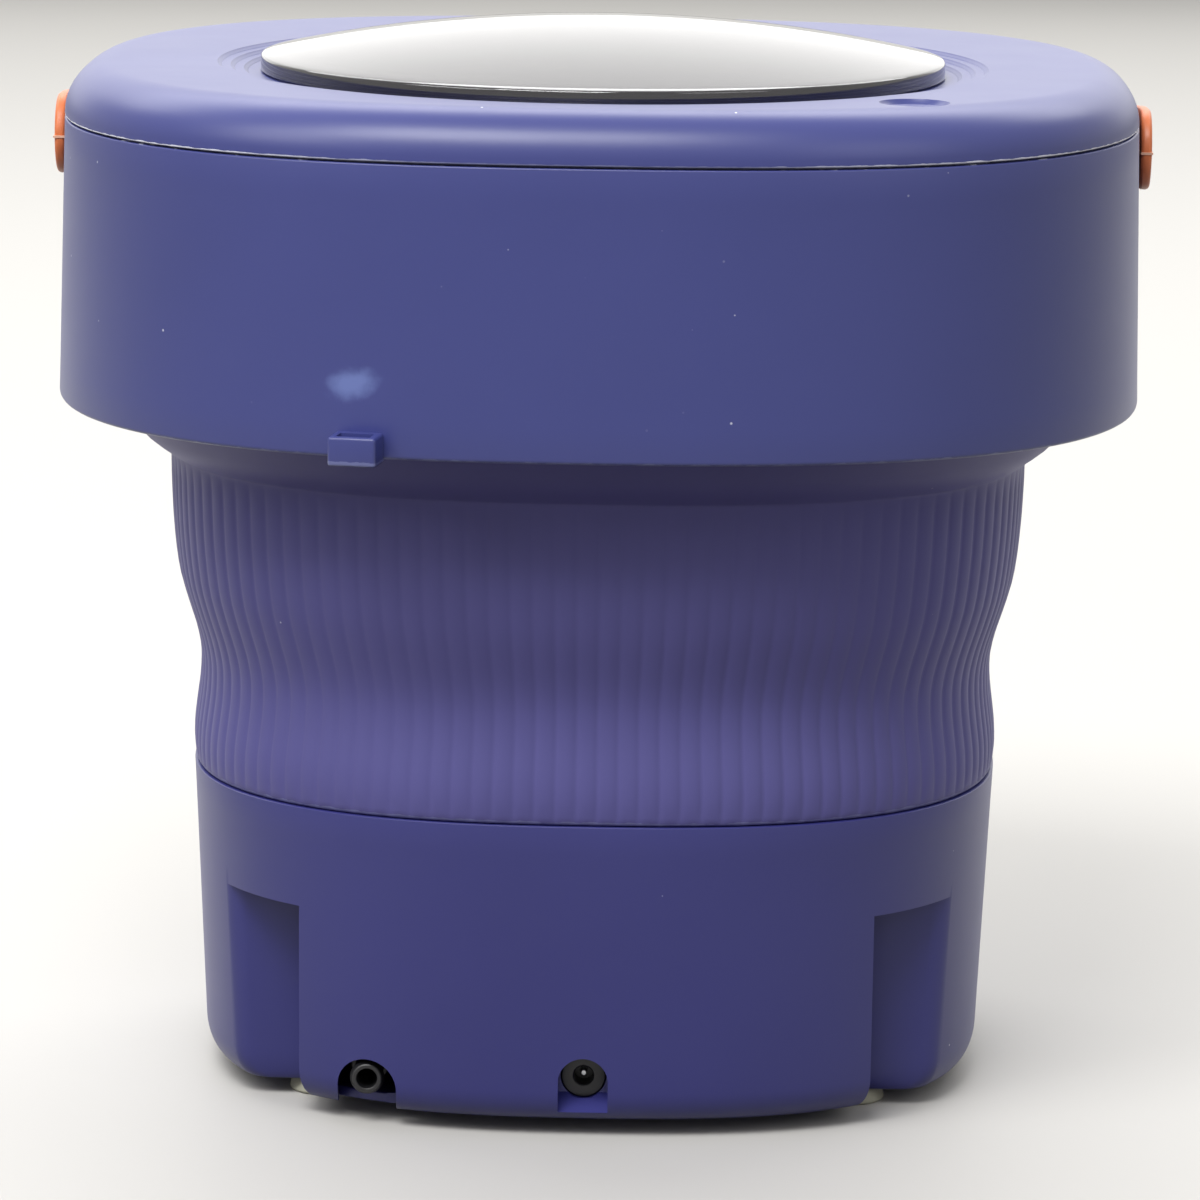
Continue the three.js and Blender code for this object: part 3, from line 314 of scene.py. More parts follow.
# The value at one level of a table of levels and values.
def between(table, level):
    for (lowLevel, low), (highLevel, high) in zip(table, table[1:]):
        if level <= highLevel:
            return low + (high - low) * (level - lowLevel) / (highLevel - lowLevel)
    return table[-1][1]


# A smooth line through a table of levels and values.
def smoothTable(table, steps):
    made = []
    for i in range(len(table) - 1):
        before, start = table[max(i - 1, 0)], table[i]
        end, after = table[i + 1], table[min(i + 2, len(table) - 1)]
        for k in range(steps):
            t = k / steps
            made.append(tuple(
                0.5 * (2 * b + (c - a) * t + (2 * a - 5 * b + 4 * c - d) * t ** 2
                       + (3 * b - a - 3 * c + d) * t ** 3)
                for a, b, c, d in zip(before, start, end, after)))
    return made + [table[-1]]


# Materials

def linear(hexColour):
    values = [int(hexColour[i:i + 2], 16) / 255 for i in (1, 3, 5)]
    return [v / 12.92 if v <= 0.04045 else ((v + 0.055) / 1.055) ** 2.4 for v in values] + [1.0]


# An input takes a value, another node's output, or a node that stands for its first output.
def setInputs(node, inputs):
    for name, value in inputs.items():
        if isinstance(value, bpy.types.Node):
            value = value.outputs[0]
        if isinstance(value, bpy.types.NodeSocket):
            node.id_data.links.new(value, node.inputs[name])
        else:
            node.inputs[name].default_value = value


def addNode(tree, kind, inputs=None, **settings):
    node = tree.nodes.new("ShaderNode" + kind)
    for name, value in settings.items():
        setattr(node, name, value)
    setInputs(node, inputs or {})
    return node


def startMaterial(name, roughness, ior, settings=None):
    material = bpy.data.materials.new(name)
    material.use_nodes = True
    tree = material.node_tree
    shader = tree.nodes["Principled BSDF"]
    setInputs(shader, {"Roughness": roughness, "IOR": ior, **(settings or {})})
    place = addNode(tree, "TexCoord").outputs["Object"]
    return material, tree, shader, place


# Airborne dust: small pale specks, one in about a third of the cells.
def addDust(tree, place, tone, amount, spacing, size):
    cells = addNode(tree, "TexVoronoi", {"Vector": place, "Scale": 1 / (spacing * mm)})
    edge = size / spacing
    spot = addNode(tree, "MapRange", {
        "Value": cells, "From Min": edge * 0.7, "From Max": edge, "To Min": 1.0, "To Max": 0.0})
    chosen = addNode(tree, "SeparateColor", {"Color": cells.outputs["Color"]})
    kept = addNode(tree, "MapRange", {"Value": chosen, "From Min": 0.6, "From Max": 0.9, "To Max": amount})
    dusty = addNode(tree, "Math", {0: spot, 1: kept}, operation="MULTIPLY")
    return addNode(tree, "Mix", {0: dusty, 6: tone, 7: linear("#d9dbe6")}, data_type="RGBA").outputs[2]


# Pale flash left by the tool along an edge at one level, broken up, and fainter in the middle of the wall.
def addFlash(tree, place, tone, flash):
    spot = addNode(tree, "SeparateXYZ", {0: place})
    above = addNode(tree, "Math", {0: spot.outputs["Z"], 1: flash["level"] * mm}, operation="SUBTRACT")
    away = addNode(tree, "Math", {0: above}, operation="ABSOLUTE")
    ragged = addNode(tree, "TexNoise", {"Vector": place, "Scale": 1 / (4 * mm), "Detail": 4.0})
    width = addNode(tree, "MapRange", {
        "Value": ragged, "From Min": flash["least"], "From Max": 0.68, "To Max": flash["width"] * mm})
    line = addNode(tree, "Math", {0: away, 1: width}, operation="LESS_THAN")
    side = addNode(tree, "Math", {0: spot.outputs["X"]}, operation="ABSOLUTE")
    strength = addNode(tree, "MapRange", {
        "Value": side, "From Min": 40 * mm, "From Max": 115 * mm,
        "To Min": flash["middle"], "To Max": flash["strength"]})
    shown = addNode(tree, "Math", {0: line, 1: strength}, operation="MULTIPLY")
    return addNode(tree, "Mix", {0: shown, 6: tone, 7: linear(flash["colour"])}, data_type="RGBA").outputs[2]


# A rubbed patch on the back wall: soft, uneven, a few millimetres across.
def addScuff(tree, place, tone, scuff):
    turned = addNode(tree, "Mapping", {
        "Vector": place, "Location": (scuff["x"] * mm, 0, scuff["z"] * mm),
        "Rotation": (0, math.radians(-scuff["turn"]), 0)}, vector_type="TEXTURE")
    centred = addNode(tree, "Mapping", {
        "Vector": turned, "Scale": (1 / (scuff["wide"] * mm), 0, 1 / (scuff["tall"] * mm))})
    rough = addNode(tree, "TexNoise", {"Vector": place, "Scale": 1 / (5 * mm), "Detail": 3.0})
    moved = addNode(tree, "VectorMath", {
        0: rough.outputs["Color"], 1: (0.9, 0.0, 0.9), 2: centred}, operation="MULTIPLY_ADD")
    apart = addNode(tree, "VectorMath", {0: moved, 1: (0.45, 0, 0.45)}, operation="DISTANCE")
    patch = addNode(tree, "MapRange", {
        "Value": apart.outputs["Value"], "From Min": 0.25, "From Max": 1.1,
        "To Min": scuff["strength"], "To Max": 0.0}, interpolation_type="SMOOTHSTEP")
    spot = addNode(tree, "SeparateXYZ", {0: place})
    back = addNode(tree, "Math", {0: spot.outputs["Y"], 1: 0.0}, operation="LESS_THAN")
    shown = addNode(tree, "Math", {0: patch, 1: back}, operation="MULTIPLY")
    return addNode(tree, "Mix", {0: shown, 6: tone, 7: linear(scuff["colour"])}, data_type="RGBA").outputs[2]


# Moulded plastic: a fine spark-eroded grain, a slow drift in tone and gloss, dust, and the tool's flash.
def mouldedPlastic(settings):
    rough, driftSize = take(settings, "roughness drift")
    grainSize, grainStrength, grainDepth = settings["grain"]
    material, tree, shader, place = startMaterial(settings["name"], rough, settings.get("ior", 1.53))
    drift = addNode(tree, "TexNoise", {"Vector": place, "Scale": 1 / (driftSize * mm), "Detail": 2.0})
    share = addNode(tree, "MapRange", {"Value": drift, "From Min": 0.3, "From Max": 0.7})
    first, second = [linear(tone) for tone in settings["tones"]]
    tone = addNode(tree, "Mix", {0: share, 6: first, 7: second}, data_type="RGBA").outputs[2]
    if "dust" in settings:
        tone = addDust(tree, place, tone, *settings["dust"])
    for flash in settings.get("flash", []):
        tone = addFlash(tree, place, tone, flash)
    if "scuff" in settings:
        tone = addScuff(tree, place, tone, settings["scuff"])
    grain = addNode(tree, "TexNoise", {"Vector": place, "Scale": 1 / (grainSize * mm), "Detail": 2.0})
    bump = addNode(tree, "Bump", {"Height": grain, "Strength": grainStrength, "Distance": grainDepth * mm})
    smudge = addNode(tree, "TexNoise", {"Vector": place, "Scale": 1 / (driftSize * 0.4 * mm), "Detail": 4.0})
    gloss = addNode(tree, "MapRange", {
        "Value": smudge, "From Min": 0.3, "From Max": 0.7, "To Min": rough - 0.01, "To Max": rough + 0.01})
    setInputs(shader, {"Base Color": tone, "Normal": bump, "Roughness": gloss})
    return material


# Grain is its size, strength and depth. Dust is its amount, spacing and size.
plastics = {
    # Injection-moulded ABS in blue-violet: satin, with flash at the parting line and along the lower edges.
    "housing_abs": {
        "name": "housingAbs", "tones": ("#393f7d", "#3b4180"), "roughness": 0.36, "drift": 60.0,
        "grain": (0.5, 0.2, 0.03), "dust": (0.8, 10.0, 0.4),
        "flash": [
            {"level": 287.3, "width": 0.65, "least": -0.1, "middle": 0.12, "strength": 1.0,
             "colour": "#eceefa"},
            {"level": 205.0, "width": 0.8, "least": 0.25, "middle": 0.45, "strength": 0.5,
             "colour": "#8a90bd"},
        ],
        "scuff": {
            "x": -65.4, "z": 225.8, "wide": 9.0, "tall": 5.0, "turn": 16.0, "strength": 0.6,
            "colour": "#7c8ecb"},
    },
    "base_abs": {
        "name": "baseAbs", "tones": ("#2d2e70", "#303174"), "roughness": 0.38, "drift": 60.0,
        "grain": (0.5, 0.2, 0.03), "dust": (0.7, 12.0, 0.35)},
    # Liquid silicone rubber: a little paler and redder than the shells, and matt.
    "bellows_silicone": {
        "name": "bellowsSilicone", "tones": ("#585590", "#5b5894"), "roughness": 0.5, "ior": 1.41,
        "drift": 45.0, "grain": (0.6, 0.2, 0.03), "dust": (0.6, 11.0, 0.35),
        "flash": [
            {"level": 94.3, "width": 0.7, "least": 0.3, "middle": 0.4, "strength": 0.5, "colour": "#8f92bd"}],
    },
    "handle_abs": {
        "name": "coralAbs", "tones": ("#de7947", "#da7443"), "roughness": 0.4, "drift": 25.0,
        "grain": (0.4, 0.15, 0.02),
        "flash": [
            {"level": 277.7, "width": 0.4, "least": -1.0, "middle": 0.6, "strength": 0.75,
             "colour": "#f2cbb0"}],
    },
    "white_pp": {
        "name": "whitePolypropylene", "tones": ("#d9dade", "#d2d4d9"), "roughness": 0.4, "ior": 1.49,
        "drift": 50.0, "grain": (0.6, 0.15, 0.02)},
    "foot_rubber": {
        "name": "footRubber", "tones": ("#b9b8a6", "#aeac9a"), "roughness": 0.75, "ior": 1.5, "drift": 6.0,
        "grain": (0.4, 0.4, 0.05)},
    "black_plastic": {
        "name": "blackNylon", "tones": ("#17171a", "#1d1d20"), "roughness": 0.42, "drift": 8.0,
        "grain": (0.4, 0.2, 0.02)},
    "black_rubber": {
        "name": "blackRubber", "tones": ("#1c1c1e", "#232325"), "roughness": 0.65, "drift": 8.0,
        "grain": (0.5, 0.3, 0.03)},
    "key_white": {
        "name": "keyPolycarbonate", "tones": ("#dcdee2", "#d6d8dc"), "roughness": 0.25, "ior": 1.58,
        "drift": 12.0, "grain": (0.4, 0.05, 0.01)},
    "board_green": {
        "name": "boardEpoxy", "tones": ("#2c6b45", "#28633f"), "roughness": 0.3, "ior": 1.5, "drift": 6.0,
        "grain": (0.8, 0.4, 0.05)},
    "ink": {
        "name": "markInk", "tones": ("#4a4d55", "#50535b"), "roughness": 0.6, "drift": 3.0,
        "grain": (0.2, 0.1, 0.01)},
}


# Metal with bands across Z: turned steel's fine grooves, or the sheets of a motor's stamped laminations.
def bandedMetal(name, settings):
    material, tree, shader, place = startMaterial(name, settings["roughness"], 1.5, {"Metallic": 1.0})
    bands = addNode(tree, "TexWave", {
        "Vector": place, "Scale": 1 / (20 * settings["spacing"] * mm), "Distortion": settings["distortion"],
        "Detail": 2.0}, bands_direction="Z")
    drift = addNode(tree, "TexNoise", {"Vector": place, "Scale": 1 / (12 * mm), "Detail": 2.0})
    share = addNode(tree, "Mix", {0: settings["bandShare"], 2: drift, 3: bands.outputs["Fac"]})
    first, second = [linear(tone) for tone in settings["tones"]]
    tone = addNode(tree, "Mix", {0: share, 6: first, 7: second}, data_type="RGBA").outputs[2]
    bump = addNode(tree, "Bump", {
        "Height": bands.outputs["Fac"], "Strength": settings["depth"], "Distance": 0.02 * mm})
    setInputs(shader, {"Base Color": tone, "Normal": bump})
    return material


# Polished polycarbonate with a smoke tint and a hard coat: a mirror gloss with faint wiping marks.
def polishedLid(name):
    material, tree, shader, place = startMaterial(name, 0.04, 1.58, {
        "Transmission Weight": 0.9, "Coat Weight": 0.3, "Coat Roughness": 0.03, "Coat IOR": 1.8})
    drift = addNode(tree, "TexNoise", {"Vector": place, "Scale": 1 / (70 * mm), "Detail": 2.0})
    tones = {0: drift, 6: linear("#5c5a64"), 7: linear("#66646e")}
    tone = addNode(tree, "Mix", tones, data_type="RGBA").outputs[2]
    stretched = addNode(tree, "Mapping", {"Vector": place, "Scale": (0.04, 1.0, 1.0)})
    marks = addNode(tree, "TexNoise", {"Vector": stretched, "Scale": 1 / (0.5 * mm), "Detail": 2.0})
    bump = addNode(tree, "Bump", {"Height": marks, "Strength": 0.05, "Distance": 0.01 * mm})
    film = addNode(tree, "TexNoise", {"Vector": place, "Scale": 1 / (30 * mm), "Detail": 4.0})
    gloss = addNode(tree, "MapRange", {
        "Value": film, "From Min": 0.35, "From Max": 0.7, "To Min": 0.02, "To Max": 0.09})
    setInputs(shader, {"Base Color": tone, "Normal": bump, "Roughness": gloss})
    return material


materials = {slot: mouldedPlastic(settings) for slot, settings in plastics.items()}
materials["steel"] = bandedMetal("turnedSteel", {
    "roughness": 0.3, "spacing": 0.4, "distortion": 1.5, "bandShare": 0.2, "tones": ("#a9abae", "#c4c6c9"),
    "depth": 0.2})
materials["laminations"] = bandedMetal("stampedLaminations", {
    "roughness": 0.45, "spacing": 0.5, "distortion": 0.2, "bandShare": 0.9, "tones": ("#5a5b5e", "#9a9ca0"),
    "depth": 0.5})
materials["lid_clear"] = polishedLid("lidPolycarbonate")
print("materials made")


# Top housing: the band

band = {
    "halfWidth": 160.0, "low": 205.0, "high": 286.7, "draft": 0.022, "wall": 2.6, "edge": 0.5, "lip": 1.2,
    "ledgeTop": 208.4, "ledgeLow": 205.8, "ledge": 5.9, "courses": 9,
}
pivot = {"level": 277.7, "bore": 3.3}


def bandAt(level, inset=0.0):
    return band["halfWidth"] - (level - band["low"]) * band["draft"] - inset


def cutPivots(piece):
    combine(piece, makeRod("pivotBore", pivot["bore"], -170, 170, (0.0, pivot["level"]), "X"))


def makeBand():
    low, high, wall, edge, lip = take(band, "low high wall edge lip")
    profile = [(bandAt(low, wall), low), (bandAt(low, lip), low)]
    profile += [(bandAt(low, lip * (1 - s)), low + lip * (1 - c)) for s, c in quarter(4, 1)]
    for i in range(1, band["courses"]):
        level = low + lip + (high - low - lip - edge) * i / band["courses"]
        profile.append((bandAt(level), level))
    profile += [(bandAt(high, edge * (1 - c)), high - edge * (1 - s)) for s, c in quarter(3)]
    inner = bandAt(low, wall + band["ledge"])
    profile += [
        (bandAt(high, wall), high), (bandAt(band["ledgeTop"], wall), band["ledgeTop"]),
        (inner, band["ledgeTop"]), (inner, band["ledgeLow"]), (bandAt(low, wall), band["ledgeLow"]),
    ]
    piece = stackRings("bandShell", profile, outline["points"])
    squareOff(piece, housing)
    cutPivots(piece)
    finishPiece(piece, "top_housing", "housing_abs", "upper_shell", angle=35)


# Top housing: the cover with its stepped dish

cover = {
    "low": 287.3, "high": 302.0, "round": 14.0, "edge": 0.4, "lipLow": 282.7, "lipThick": 2.0, "lipGap": 0.3,
    "roundSteps": 14, "flatEdge": 2.0,
}
dish = {"centreY": -12.2, "radius": 113.2, "step": 3.2, "slope": 0.7, "depth": 2.8, "steps": 3, "edge": 0.35}
mouth = {"radius": 90.0, "neck": 9.0}
dimple = {
    "place": (89.0, -108.6, 0.0), "floor": 300.1,
    "bowl": [(6.0, 0.0), (7.6, 0.1), (8.8, 0.55), (9.5, 1.2), (10.0, 1.9), (10.2, 4.9)],
}


def makeCover():
    low, high, edge, wall = cover["low"], cover["high"], cover["edge"], band["wall"]
    start = bandAt(low)
    profile = [(bandAt(cover["lipLow"], wall + cover["lipGap"]), cover["lipLow"])]
    profile += [(start - wall - cover["lipGap"], low), (start - edge, low)]
    profile += [(start - edge * (1 - s), low + edge * (1 - c)) for s, c in quarter(3, 1)]
    rise = high - low - edge
    profile += [
        (start - cover["round"] * (1 - c), low + edge + rise * s) for s, c in quarter(cover["roundSteps"], 1)]
    profile.append((start - cover["round"] - cover["flatEdge"], high))
    # The dish's circles are drawn round the middle here and moved to their own centre below.
    radius, level, lip = dish["radius"], high, dish["edge"]
    for _ in range(dish["steps"]):
        profile += [(radius + lip, level), (radius, level - lip)]
        level -= dish["depth"] / dish["steps"]
        radius -= dish["slope"]
        profile += [(radius, level + lip / 2), (radius - lip / 2, level)]
        radius -= dish["step"]
    floor, neck = high - dish["depth"], mouth["radius"]
    neckLow = floor - mouth["neck"]
    profile += [
        (neck + 0.6, floor), (neck, floor - 0.6), (neck, neckLow), (neck + wall, neckLow),
        (neck + wall, floor - wall), (dish["radius"] + wall, floor - wall), (start - 22, high - wall),
        (start - 12, high - wall - 1.5), (start - 6, low + 6), (start - 4.6, low + 2),
        (bandAt(cover["lipLow"], wall + cover["lipThick"]), cover["lipLow"]),
    ]
    piece = stackRings("coverShell", profile, outline["points"])
    drawn = [vertex.co.copy() for vertex in piece.data.vertices]
    squareOff(piece, housing)
    for vertex, spot in zip(piece.data.vertices, drawn):
        if math.hypot(spot.x, spot.y) / mm < dish["radius"] + lip + 0.1:
            vertex.co = (spot.x, spot.y + dish["centreY"] * mm, spot.z)
    piece.data.update()
    bowl = [(radius, dimple["floor"] + up) for radius, up in dimple["bowl"]]
    combine(piece, applyPlace(stackRings("coverScoop", bowl, 128, closed=False), dimple["place"]))
    finishPiece(piece, "top_housing", "housing_abs", "top_cover", angle=14)


# Bellows: ribs with narrow grooves, a waist and a bulge over the base, and a smooth flare under the housing

bellows = {
    "ribs": 126, "ribPoints": 10, "groove": 0.28, "grooveShare": 0.12, "crown": 0.1, "thick": 2.2,
    "low": 93.7, "flangeLow": 208.7, "flangeHigh": 211.7, "fadeLow": 181.0, "fadeHigh": 188.5,
    "flareLow": 187.6, "rim": 154.4, "neck": 146.8, "foot": 8.0, "footThick": 3.0,
    "line": [
        (93.7, 119.2), (94.6, 119.9), (98, 120.3), (101, 120.45), (106, 120.25), (112, 119.5), (118, 118.75),
        (124, 118.45), (129, 118.8), (135, 120.1), (142, 122.3), (150, 124.6), (158, 125.9), (168, 126.8),
        (178, 127.25), (184, 127.4), (187.6, 127.6), (188.6, 128.3), (190, 130.4), (194, 135.6), (199, 140.0),
        (204, 144.6), (208.7, 149.0),
    ],
}


def makeBellows():
    table = smoothTable(bellows["line"], 2)
    low, thick, rim = take(bellows, "low thick rim")
    flangeLow, flangeHigh = take(bellows, "flangeLow flangeHigh")
    foot, start = low + bellows["footThick"], table[0][1]
    profile = [(radius, level) for level, radius in table]
    profile += [(rim, flangeLow), (rim, flangeHigh), (bellows["neck"], flangeHigh)]
    profile += [(radius - thick - 0.6, level) for level, radius in reversed(table[::4]) if foot < level < 207]
    profile += [(start - thick - 1.0, foot), (start - bellows["foot"], foot), (start - bellows["foot"], low)]
    piece = stackRings("bellowsSleeve", profile, bellows["ribs"] * bellows["ribPoints"])

    def shorter(radius, level):
        share = clamp((level - bellows["flareLow"]) / (flangeLow - bellows["flareLow"]))
        return lower["less"] + (housing["less"] - lower["less"]) * share

    def ribbed(share, radius, level):
        if radius < between(table, level) - 1 or level > bellows["fadeHigh"] or level < low + 0.5:
            return 0.0
        fade = min(1.0, (bellows["fadeHigh"] - level) / (bellows["fadeHigh"] - bellows["fadeLow"]))
        fade *= min(1.0, 0.35 + (level - low) / 8)
        phase = (share * bellows["ribs"]) % 1
        off = min(phase, 1 - phase)
        groove = math.exp(-(off / bellows["grooveShare"]) ** 2)
        crown = math.cos((phase - 0.5) * math.tau)
        return fade * (bellows["crown"] * crown - bellows["groove"] * groove)

    squareOff(piece, lower, shorter, ribbed)
    finishPiece(piece, "base", "bellows_silicone", "bellows", angle=50)
    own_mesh(piece)


# Base shell

base = {
    "halfWidth": 120.4, "low": 5.0, "high": 93.4, "draft": 0.044, "wall": 2.6, "rise": 9.0, "inset": 5.0,
    "edgeSteps": 10, "lip": 0.5, "courses": 10,
}
recess = {
    "x": 83.44, "y": 65.5, "top": 63.6, "far": 150.0, "steps": 8, "endShare": 0.3, "fillet": 7.5,
    "filletSteps": 8, "waste": 12.0,
}
drain = {"x": -63.0, "halfWidth": 8.7, "springing": 11.6}
jack = {
    "halfWidth": 7.2, "springing": 17.0, "back": -98.1, "ledge": 2.2, "hole": 6.7, "sillFront": 6.8,
    "sillRise": 8.4, "face": -106.1,
}
panel = {"halfLength": 40.0, "halfHeight": 11.0, "level": 62.0, "floor": 102.0, "behind": 2.0}
keys = {"x": 18.0, "radius": 6.0, "rim": 7.4}


def baseAt(level, inset=0.0):
    return base["halfWidth"] - (base["high"] - level) * base["draft"] - inset


def baseEdge():
    points = []
    for s, c in quarter(base["edgeSteps"]):
        level = base["low"] + base["rise"] * (1 - c)
        points.append((baseAt(level, base["inset"] * (1 - s)), level))
    return points


# One corner's cutter: a block whose two inner sides flare inwards at the foot, as the shell's own edge does.
def makeRecessCutter(sideX, sideY, grow=0.0):
    far, ends = take(recess, "far endShare")
    x = sorted((sideX * (recess["x"] - grow), sideX * far))
    y = sorted((sideY * (recess["y"] - grow), sideY * far))
    start = base["low"] + base["rise"]
    cutter = makeBlock("recessCutter", x, y, (start, recess["top"] + grow))
    selectWhere(cutter, lambda spot: spot.z < start + 1)
    wide, deep = far - recess["x"] + grow, far - recess["y"] + grow
    level, inset = start, 0.0
    for s, c in quarter(recess["steps"], 1):
        nextLevel = start - base["rise"] * s
        nextInset = base["inset"] * (1 - c)
        extrudeBy(nextLevel - level)
        scale = ((wide + nextInset) / (wide + inset), (deep + nextInset * ends) / (deep + inset * ends), 1)
        bpy.ops.transform.resize(value=scale, center_override=(sideX * far * mm, sideY * far * mm, 0))
        level, inset = nextLevel, nextInset
    extrudeBy(-3)
    faceOut()
    return cutter


# Rounds the upright edge between a corner's back wall and the shell's side: the waste outside the fillet.
def makeFilletCutter(sideX, sideY):
    rise, inset = take(base, "rise inset")
    courses = [(base["low"] - 1.0, inset)]
    courses += [(base["low"] + rise * (1 - c), inset * (1 - s)) for s, c in quarter(recess["steps"])]
    courses.append((recess["top"], 0.0))
    steps, size, waste, power = recess["filletSteps"], recess["fillet"], recess["waste"], outline["power"]
    points = steps + 4
    piece = stackRings("filletCutter", [(1.0, float(i)) for i in range(len(courses))], points, closed=False)
    for vertex in piece.data.vertices:
        _, share, z = polar(vertex)
        level, inset = courses[round(z)]
        wide = baseAt(level, inset)
        deep = wide - lower["less"]
        back = recess["y"] - inset * recess["endShare"]
        side = wide * (1 - (back / deep) ** power) ** (1 / power)
        lean = math.atan2((back / deep) ** (power - 1) / deep, (side / wide) ** (power - 1) / wide)
        x, y = side - size * math.tan((math.pi / 2 - lean) / 2), back - size
        k = round(share * points) % points
        turn = math.pi / 2 + (lean - math.pi / 2) * min(k, steps) / steps
        spots = [
            (x + size * math.cos(turn), y + size * math.sin(turn)),
            (x + (size + waste) * math.cos(lean), y + (size + waste) * math.sin(lean)),
            (side + waste, back + waste), (x, back + waste),
        ]
        x, y = spots[max(k - steps, 0)]
        vertex.co = (sideX * x * mm, sideY * y * mm, level * mm)
    editAll(piece)
    faceOut()
    return piece


# The inlet's pocket: a doorway with a floor that slopes down to the outside.
def makeJackCutter():
    door = makeDoor("jackDoor", 0.0, jack["halfWidth"], 1.0, jack["springing"], jack["back"])
    sill = makeBlock("jackSill", (-20, 20), (jack["face"], jack["back"] + 5), (-10, jack["sillFront"]))
    selectWhere(sill, lambda spot: spot.z > 0 and spot.y > jack["face"] + 1)
    bpy.ops.transform.translate(value=(0, 0, jack["sillRise"] * mm))
    leaveEdit()
    return combine(door, sill)


def makeBase():
    low, high, wall, lip = take(base, "low high wall lip")
    shoulder = low + base["rise"]
    outer = baseEdge()
    for i in range(1, base["courses"]):
        level = shoulder + (high - lip - shoulder) * i / base["courses"]
        outer.append((baseAt(level), level))
    outer += [(baseAt(high, lip * (1 - c)), high - lip * (1 - s)) for s, c in quarter(3)]
    inner = [(baseAt(high, wall), high + 2), (baseAt(shoulder, wall), shoulder)]
    inner += [(radius - wall, level) for radius, level in reversed(baseEdge()[:-1])]
    inner.append((inner[-1][0], low - 2))
    body = stackRings("baseShell", outer, outline["points"], closed=False)
    hollow = stackRings("baseHollow", inner, outline["points"], closed=False)
    squareOff(body, lower)
    squareOff(hollow, lower)
    places = sorted(corners.values())
    length, height, floor = take(panel, "halfLength halfHeight floor")
    width, springing, back = take(jack, "halfWidth springing back")
    for x, y in places:
        combine(hollow, makeRecessCutter(x, y, wall))
    combine(hollow, makeDoor("jackBox", 0.0, width + wall, 1.0, springing, back + jack["ledge"]))
    combine(hollow, makeSlot("panelBox", length + wall, height + wall, floor - panel["behind"], 130.0))
    combine(body, hollow)
    for x, y in places:
        combine(body, makeRecessCutter(x, y))
        combine(body, makeFilletCutter(x, y))
    combine(body, makeDoor("drainDoor", drain["x"], drain["halfWidth"], 1.0, drain["springing"], -50.0))
    combine(body, makeJackCutter())
    combine(body, makeSlot("panelPocket", length, height, floor, 130.0))
    combine(body, makeRod("jackHole", jack["hole"], back - 2, back + 6, (0.0, springing), "Y"))
    for side in (-1, 1):
        place = (side * keys["x"], panel["level"])
        combine(body, makeRod("keyHole", keys["radius"] + 0.3, floor - 6, floor + 2, place, "Y"))
    finishPiece(body, "base", "base_abs", "base_shell", angle=25)


# Lid: a smoked dome with a rolled edge, its spigot ring and its gasket

lid = {
    "radius": 100.8, "low": 299.5, "side": 4.8, "rise": 10.7, "thick": 2.0, "edge": 0.9, "steps": 40,
    "spigot": 89.4, "spigotInner": 87.0, "spigotLow": 292.5, "gasket": 1.0, "gasketWidth": 6.0, "gap": 0.3,
}


def domeLine(radius, low):
    ball = (radius ** 2 + lid["rise"] ** 2) / (2 * lid["rise"])
    points = []
    for i in range(lid["steps"]):
        reach = radius * (lid["steps"] - i) / lid["steps"]
        points.append((reach, low + lid["rise"] - ball + math.sqrt(ball ** 2 - reach ** 2)))
    return points


def makeLid():
    low, edge, thick, radius, gap = take(lid, "low edge thick radius gap")
    skirt, shoulder, bead = radius - thick, low + lid["side"], lid["gasket"] / 2
    window = domeLine(skirt, shoulder - thick)[::-1]
    window += [(skirt, low + 0.2), (skirt + 0.2, low), (radius - 0.4, low), (radius, low + 0.4)]
    window += turnCorner(radius - edge, shoulder - edge + 0.1, edge, 0, 78)
    window += [spot for spot in domeLine(radius, shoulder) if spot[0] < radius - 1.2]
    outer, seat, top = skirt - gap, low + lid["gasket"] + gap, shoulder - thick - gap
    spigotRadius, inner, foot = take(lid, "spigot spigotInner spigotLow")
    rim = [
        (outer, seat), (outer, top), (inner + 0.5, top + 1.0), (inner, top + 0.6), (inner, foot + 0.5),
        (inner + 0.5, foot), (spigotRadius - 0.8, foot), (spigotRadius - 0.2, foot + 0.9),
        (spigotRadius, seat - 2), (spigotRadius, seat),
    ]
    gasket = turnCorner(outer - bead, low + bead, bead, -90, 90)
    gasket += turnCorner(outer - lid["gasketWidth"] + bead, low + bead, bead, 90, 270)
    for name, profile, closed, slot, node in (
            ("lidWindow", window, False, "lid_clear", "lid_window"),
            ("lidRim", rim, True, "black_plastic", "lid_rim"),
            ("lidGasket", gasket, True, "bellows_silicone", "lid_seal")):
        piece = turnPiece(name, profile, (0.0, dish["centreY"], 0.0), closed=closed, points=256)
        finishPiece(piece, "lid", slot, node)


# Collar: lines the housing, and draws in from the soft rectangle to the round mouth

collar = {
    "low": 212.0, "rim": 155.8, "flange": 2.6, "half": 150.0, "thick": 2.2, "high": 296.3, "neck": 95.1,
    "shares": [(0.0, 0.0), (0.5, 0.03), (0.74, 0.22), (0.88, 0.6), (0.95, 1.0), (1.0, 1.0)],
}


